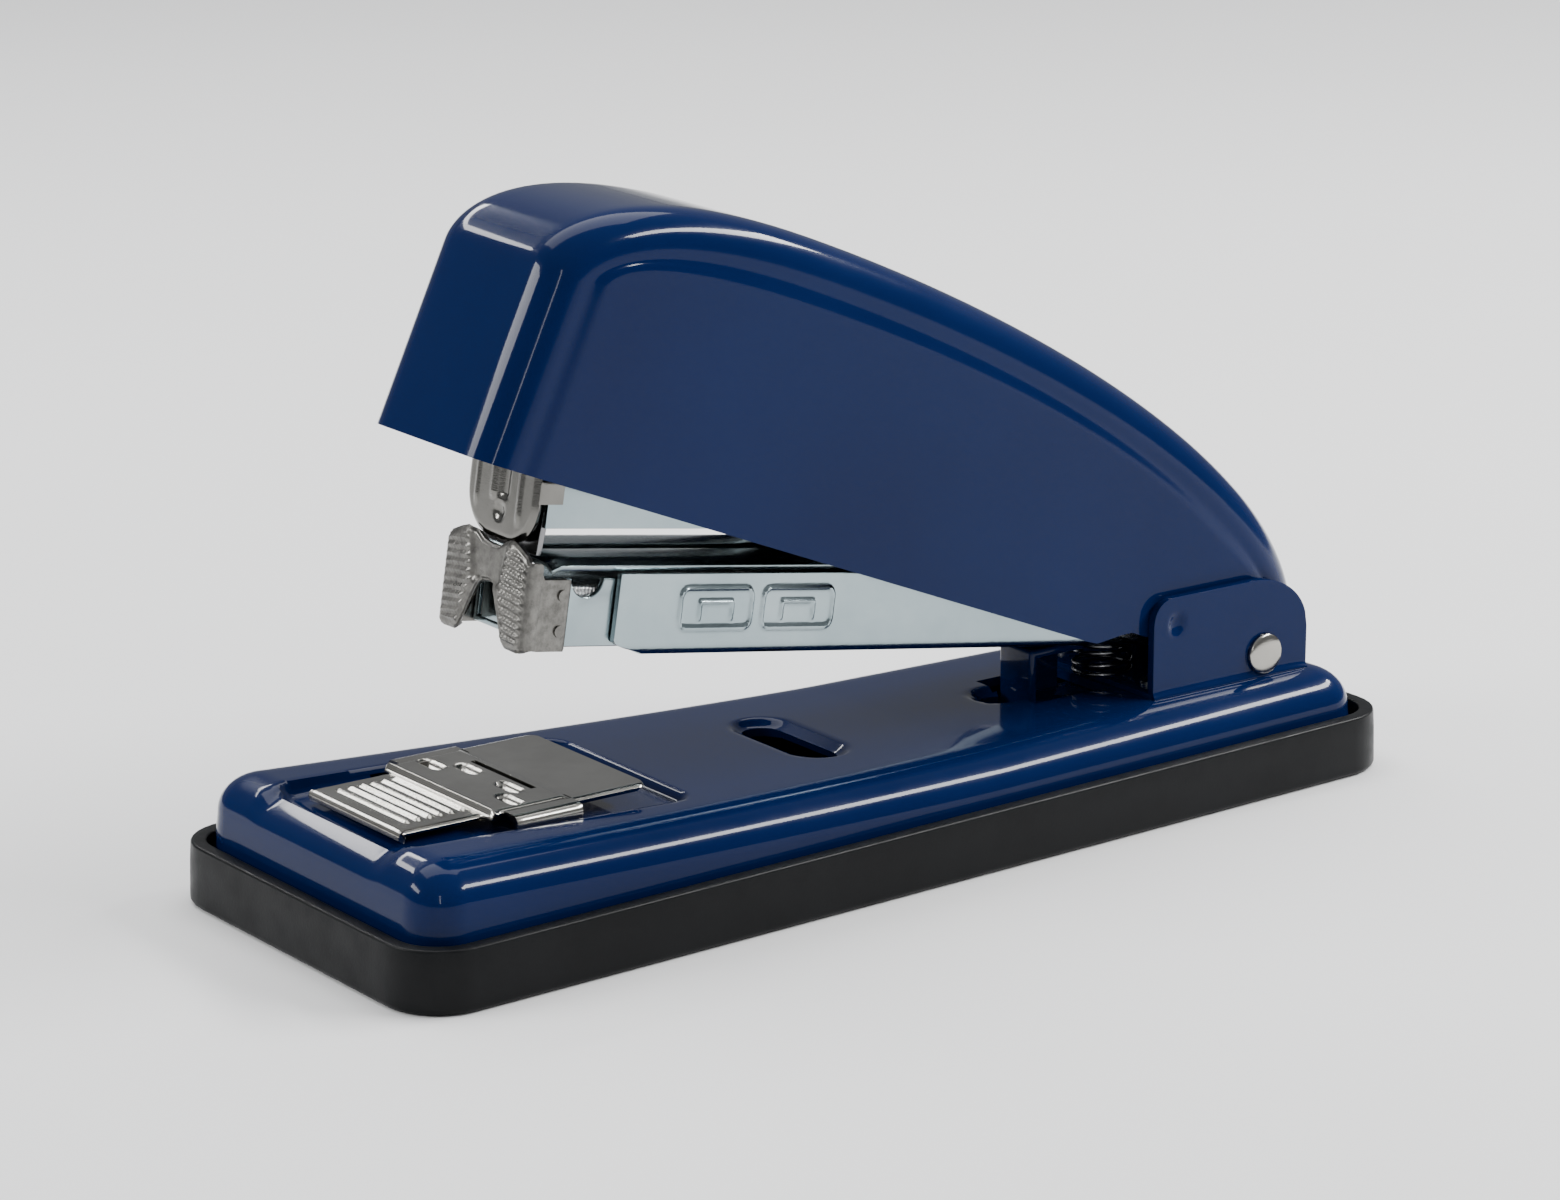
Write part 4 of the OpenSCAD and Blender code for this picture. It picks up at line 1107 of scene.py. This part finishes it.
def makeSpring(name, node, body, wire, turns, axis, tilt=None):
    # a coil filling the imported spring's box; where it is held and which way it shortens are worked out, but
    # nothing uses them
    lo, hi = box(node, tilt)
    middle = (lo + hi) / 2
    if axis == "z":
        start = (middle[0], middle[1], lo[2])
        along, across, r, length = (0, 0, 1), (1, 0, 0), (hi[0] - lo[0]) / 2, hi[2] - lo[2]
    else:
        start = (lo[0], middle[1], middle[2])
        along, across, r, length = (1, 0, 0), (0, 1, 0), (hi[2] - lo[2]) / 2, hi[0] - lo[0]
    pts, ru, rv = coil(start, along, across, r, wire, length, turns)
    obj = piece(name, [(pts[::-1], ru, rv)], tilt, sharp=60)
    place(obj, body, "spring_steel", springSteel, node)
    held = np.array(start if axis == "z" else (hi[0], middle[1], middle[2]), float)
    way = np.array(along, float)
    if tilt is not None:
        held, way = outOfFrame(held, tilt), outOfFrame(way, tilt) - pin
    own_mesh(obj)


makeSpring("liftSpring", "lift_spring", "base", 0.6, 4, "z")
makeSpring("handleSpring", "handle_spring", "magazine", 0.8, 5, "z", magTilt)
makeSpring("pusherSpring", "pusher_spring", "drawer", 0.5, 14, "x", magTilt)

soft("driverArm", "driver_arm", 0.25, "handle", "nickel", nickelHandle)
soft("driverBlade", "driver_blade", 0.12, "handle", "spring_steel", springSteel)
soft("coverNuts", "cover_nuts", 0.2, "handle", "zinc_plate", zincPlate)
print("inside made")

# the rivets, screws, studs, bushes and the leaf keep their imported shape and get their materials
bodyLooks = {"base": nickelBase, "anvil": nickelBase, "magazine": nickelMagazine, "drawer": nickelMagazine,
             "pusher": nickelMagazine, "handle": nickelHandle}
assigned = frame["record"]["behaviour"]["bodies"]
for entry in frame["record"]["subparts"]:
    node, look = entry["node"], slotLooks[entry["material_slot"]]
    look = zincCast if node == "clip_rivets" else look
    if entry["material_slot"] == "nickel":
        look = bodyLooks[next(b for b, members in assigned.items() if node in members)]
    cad[node].data.materials.clear()
    cad[node].data.materials.append(look)

camera = {
    "place": (-0.3696, -0.4937, 0.2054),
    "azimuth": -36.35,
    "elevation": 15.83,
    "lens": 119.49,
}


def stand(name, data, place, facing):  # looks along facing, upright
    obj = bpy.data.objects.new(name, data)
    obj.location = place
    obj.rotation_mode = "QUATERNION"
    obj.rotation_quaternion = facing.to_track_quat("-Z", "Y")
    bpy.context.scene.collection.objects.link(obj)
    return obj


def makeCamera():
    data = bpy.data.cameras.new("camera")
    data.lens = camera["lens"]
    data.sensor_width = 36
    a = math.radians(camera["azimuth"])
    e = math.radians(camera["elevation"])
    back = Vector((math.sin(a) * math.cos(e), -math.cos(a) * math.cos(e), math.sin(e)))
    bpy.context.scene.camera = stand("camera", data, camera["place"], -back)


lights = {  # place, aim, size, power
    "over": ((0.10, 0.25, 0.75), (0, 0, 0.03), (0.9, 0.5), 6),
    "left": ((-0.75, 0.35, 0.45), (0, 0, 0.04), (0.5, 0.14), 4.4),
    "front": ((-0.55, -0.75, 0.35), (0, 0, 0.04), (0.05, 0.4), 0.9),
    "right": ((0.62, -0.33, 0.56), (0, 0, 0.03), (0.7, 0.09), 12),
    "behind": ((-0.06, 0.62, 0.46), (0, 0, 0.04), (0.42, 0.03), 0.9),
}
sky = {
    "tint": (0.95, 0.97, 1, 1),
    "strength": (0.26, 0.55),  # low down and high up
    "height": (0.1, 0.9),  # z of the direction where they are reached
}


def softLight(name, place, aim, size, power):
    data = bpy.data.lights.new(name, "AREA")
    data.shape = "RECTANGLE"
    data.size, data.size_y = size
    data.energy = power
    stand(name, data, place, Vector(aim) - Vector(place))


def makeStudio():
    world = bpy.data.worlds.new("studio")
    world.use_nodes = True
    tree = world.node_tree
    coords = tree.nodes.new("ShaderNodeTexCoord")
    split = tree.nodes.new("ShaderNodeSeparateXYZ")
    tree.links.new(coords.outputs["Generated"], split.inputs["Vector"])
    glow = remap(tree, split.outputs["Z"], *sky["strength"], *sky["height"])
    background = tree.nodes["Background"]
    background.inputs["Color"].default_value = sky["tint"]
    tree.links.new(glow, background.inputs["Strength"])
    bpy.context.scene.world = world
    a = np.linspace(0, 2 * math.pi, 64, endpoint=False)[None]
    r = np.array([0.001, 0.3, 0.8, 2.5, 6.0])[:, None] * 1000
    floor = piece("floor", [(grid(r * np.cos(a), r * np.sin(a), 0 * r * a)[::-1], False, True)])
    mat, tree, shader = startMaterial("paleFloor")
    tone = mixColours(tree, noise(tree, objectPlace(tree), 3, 2), (0.80, 0.80, 0.80), (0.84, 0.84, 0.84))
    tree.links.new(tone, shader.inputs["Base Color"])
    shader.inputs["Roughness"].default_value = 0.7
    floor.data.materials.append(mat)
    for name, values in lights.items():
        softLight(name, *values)


makeCamera()
makeStudio()
print("studio ready")
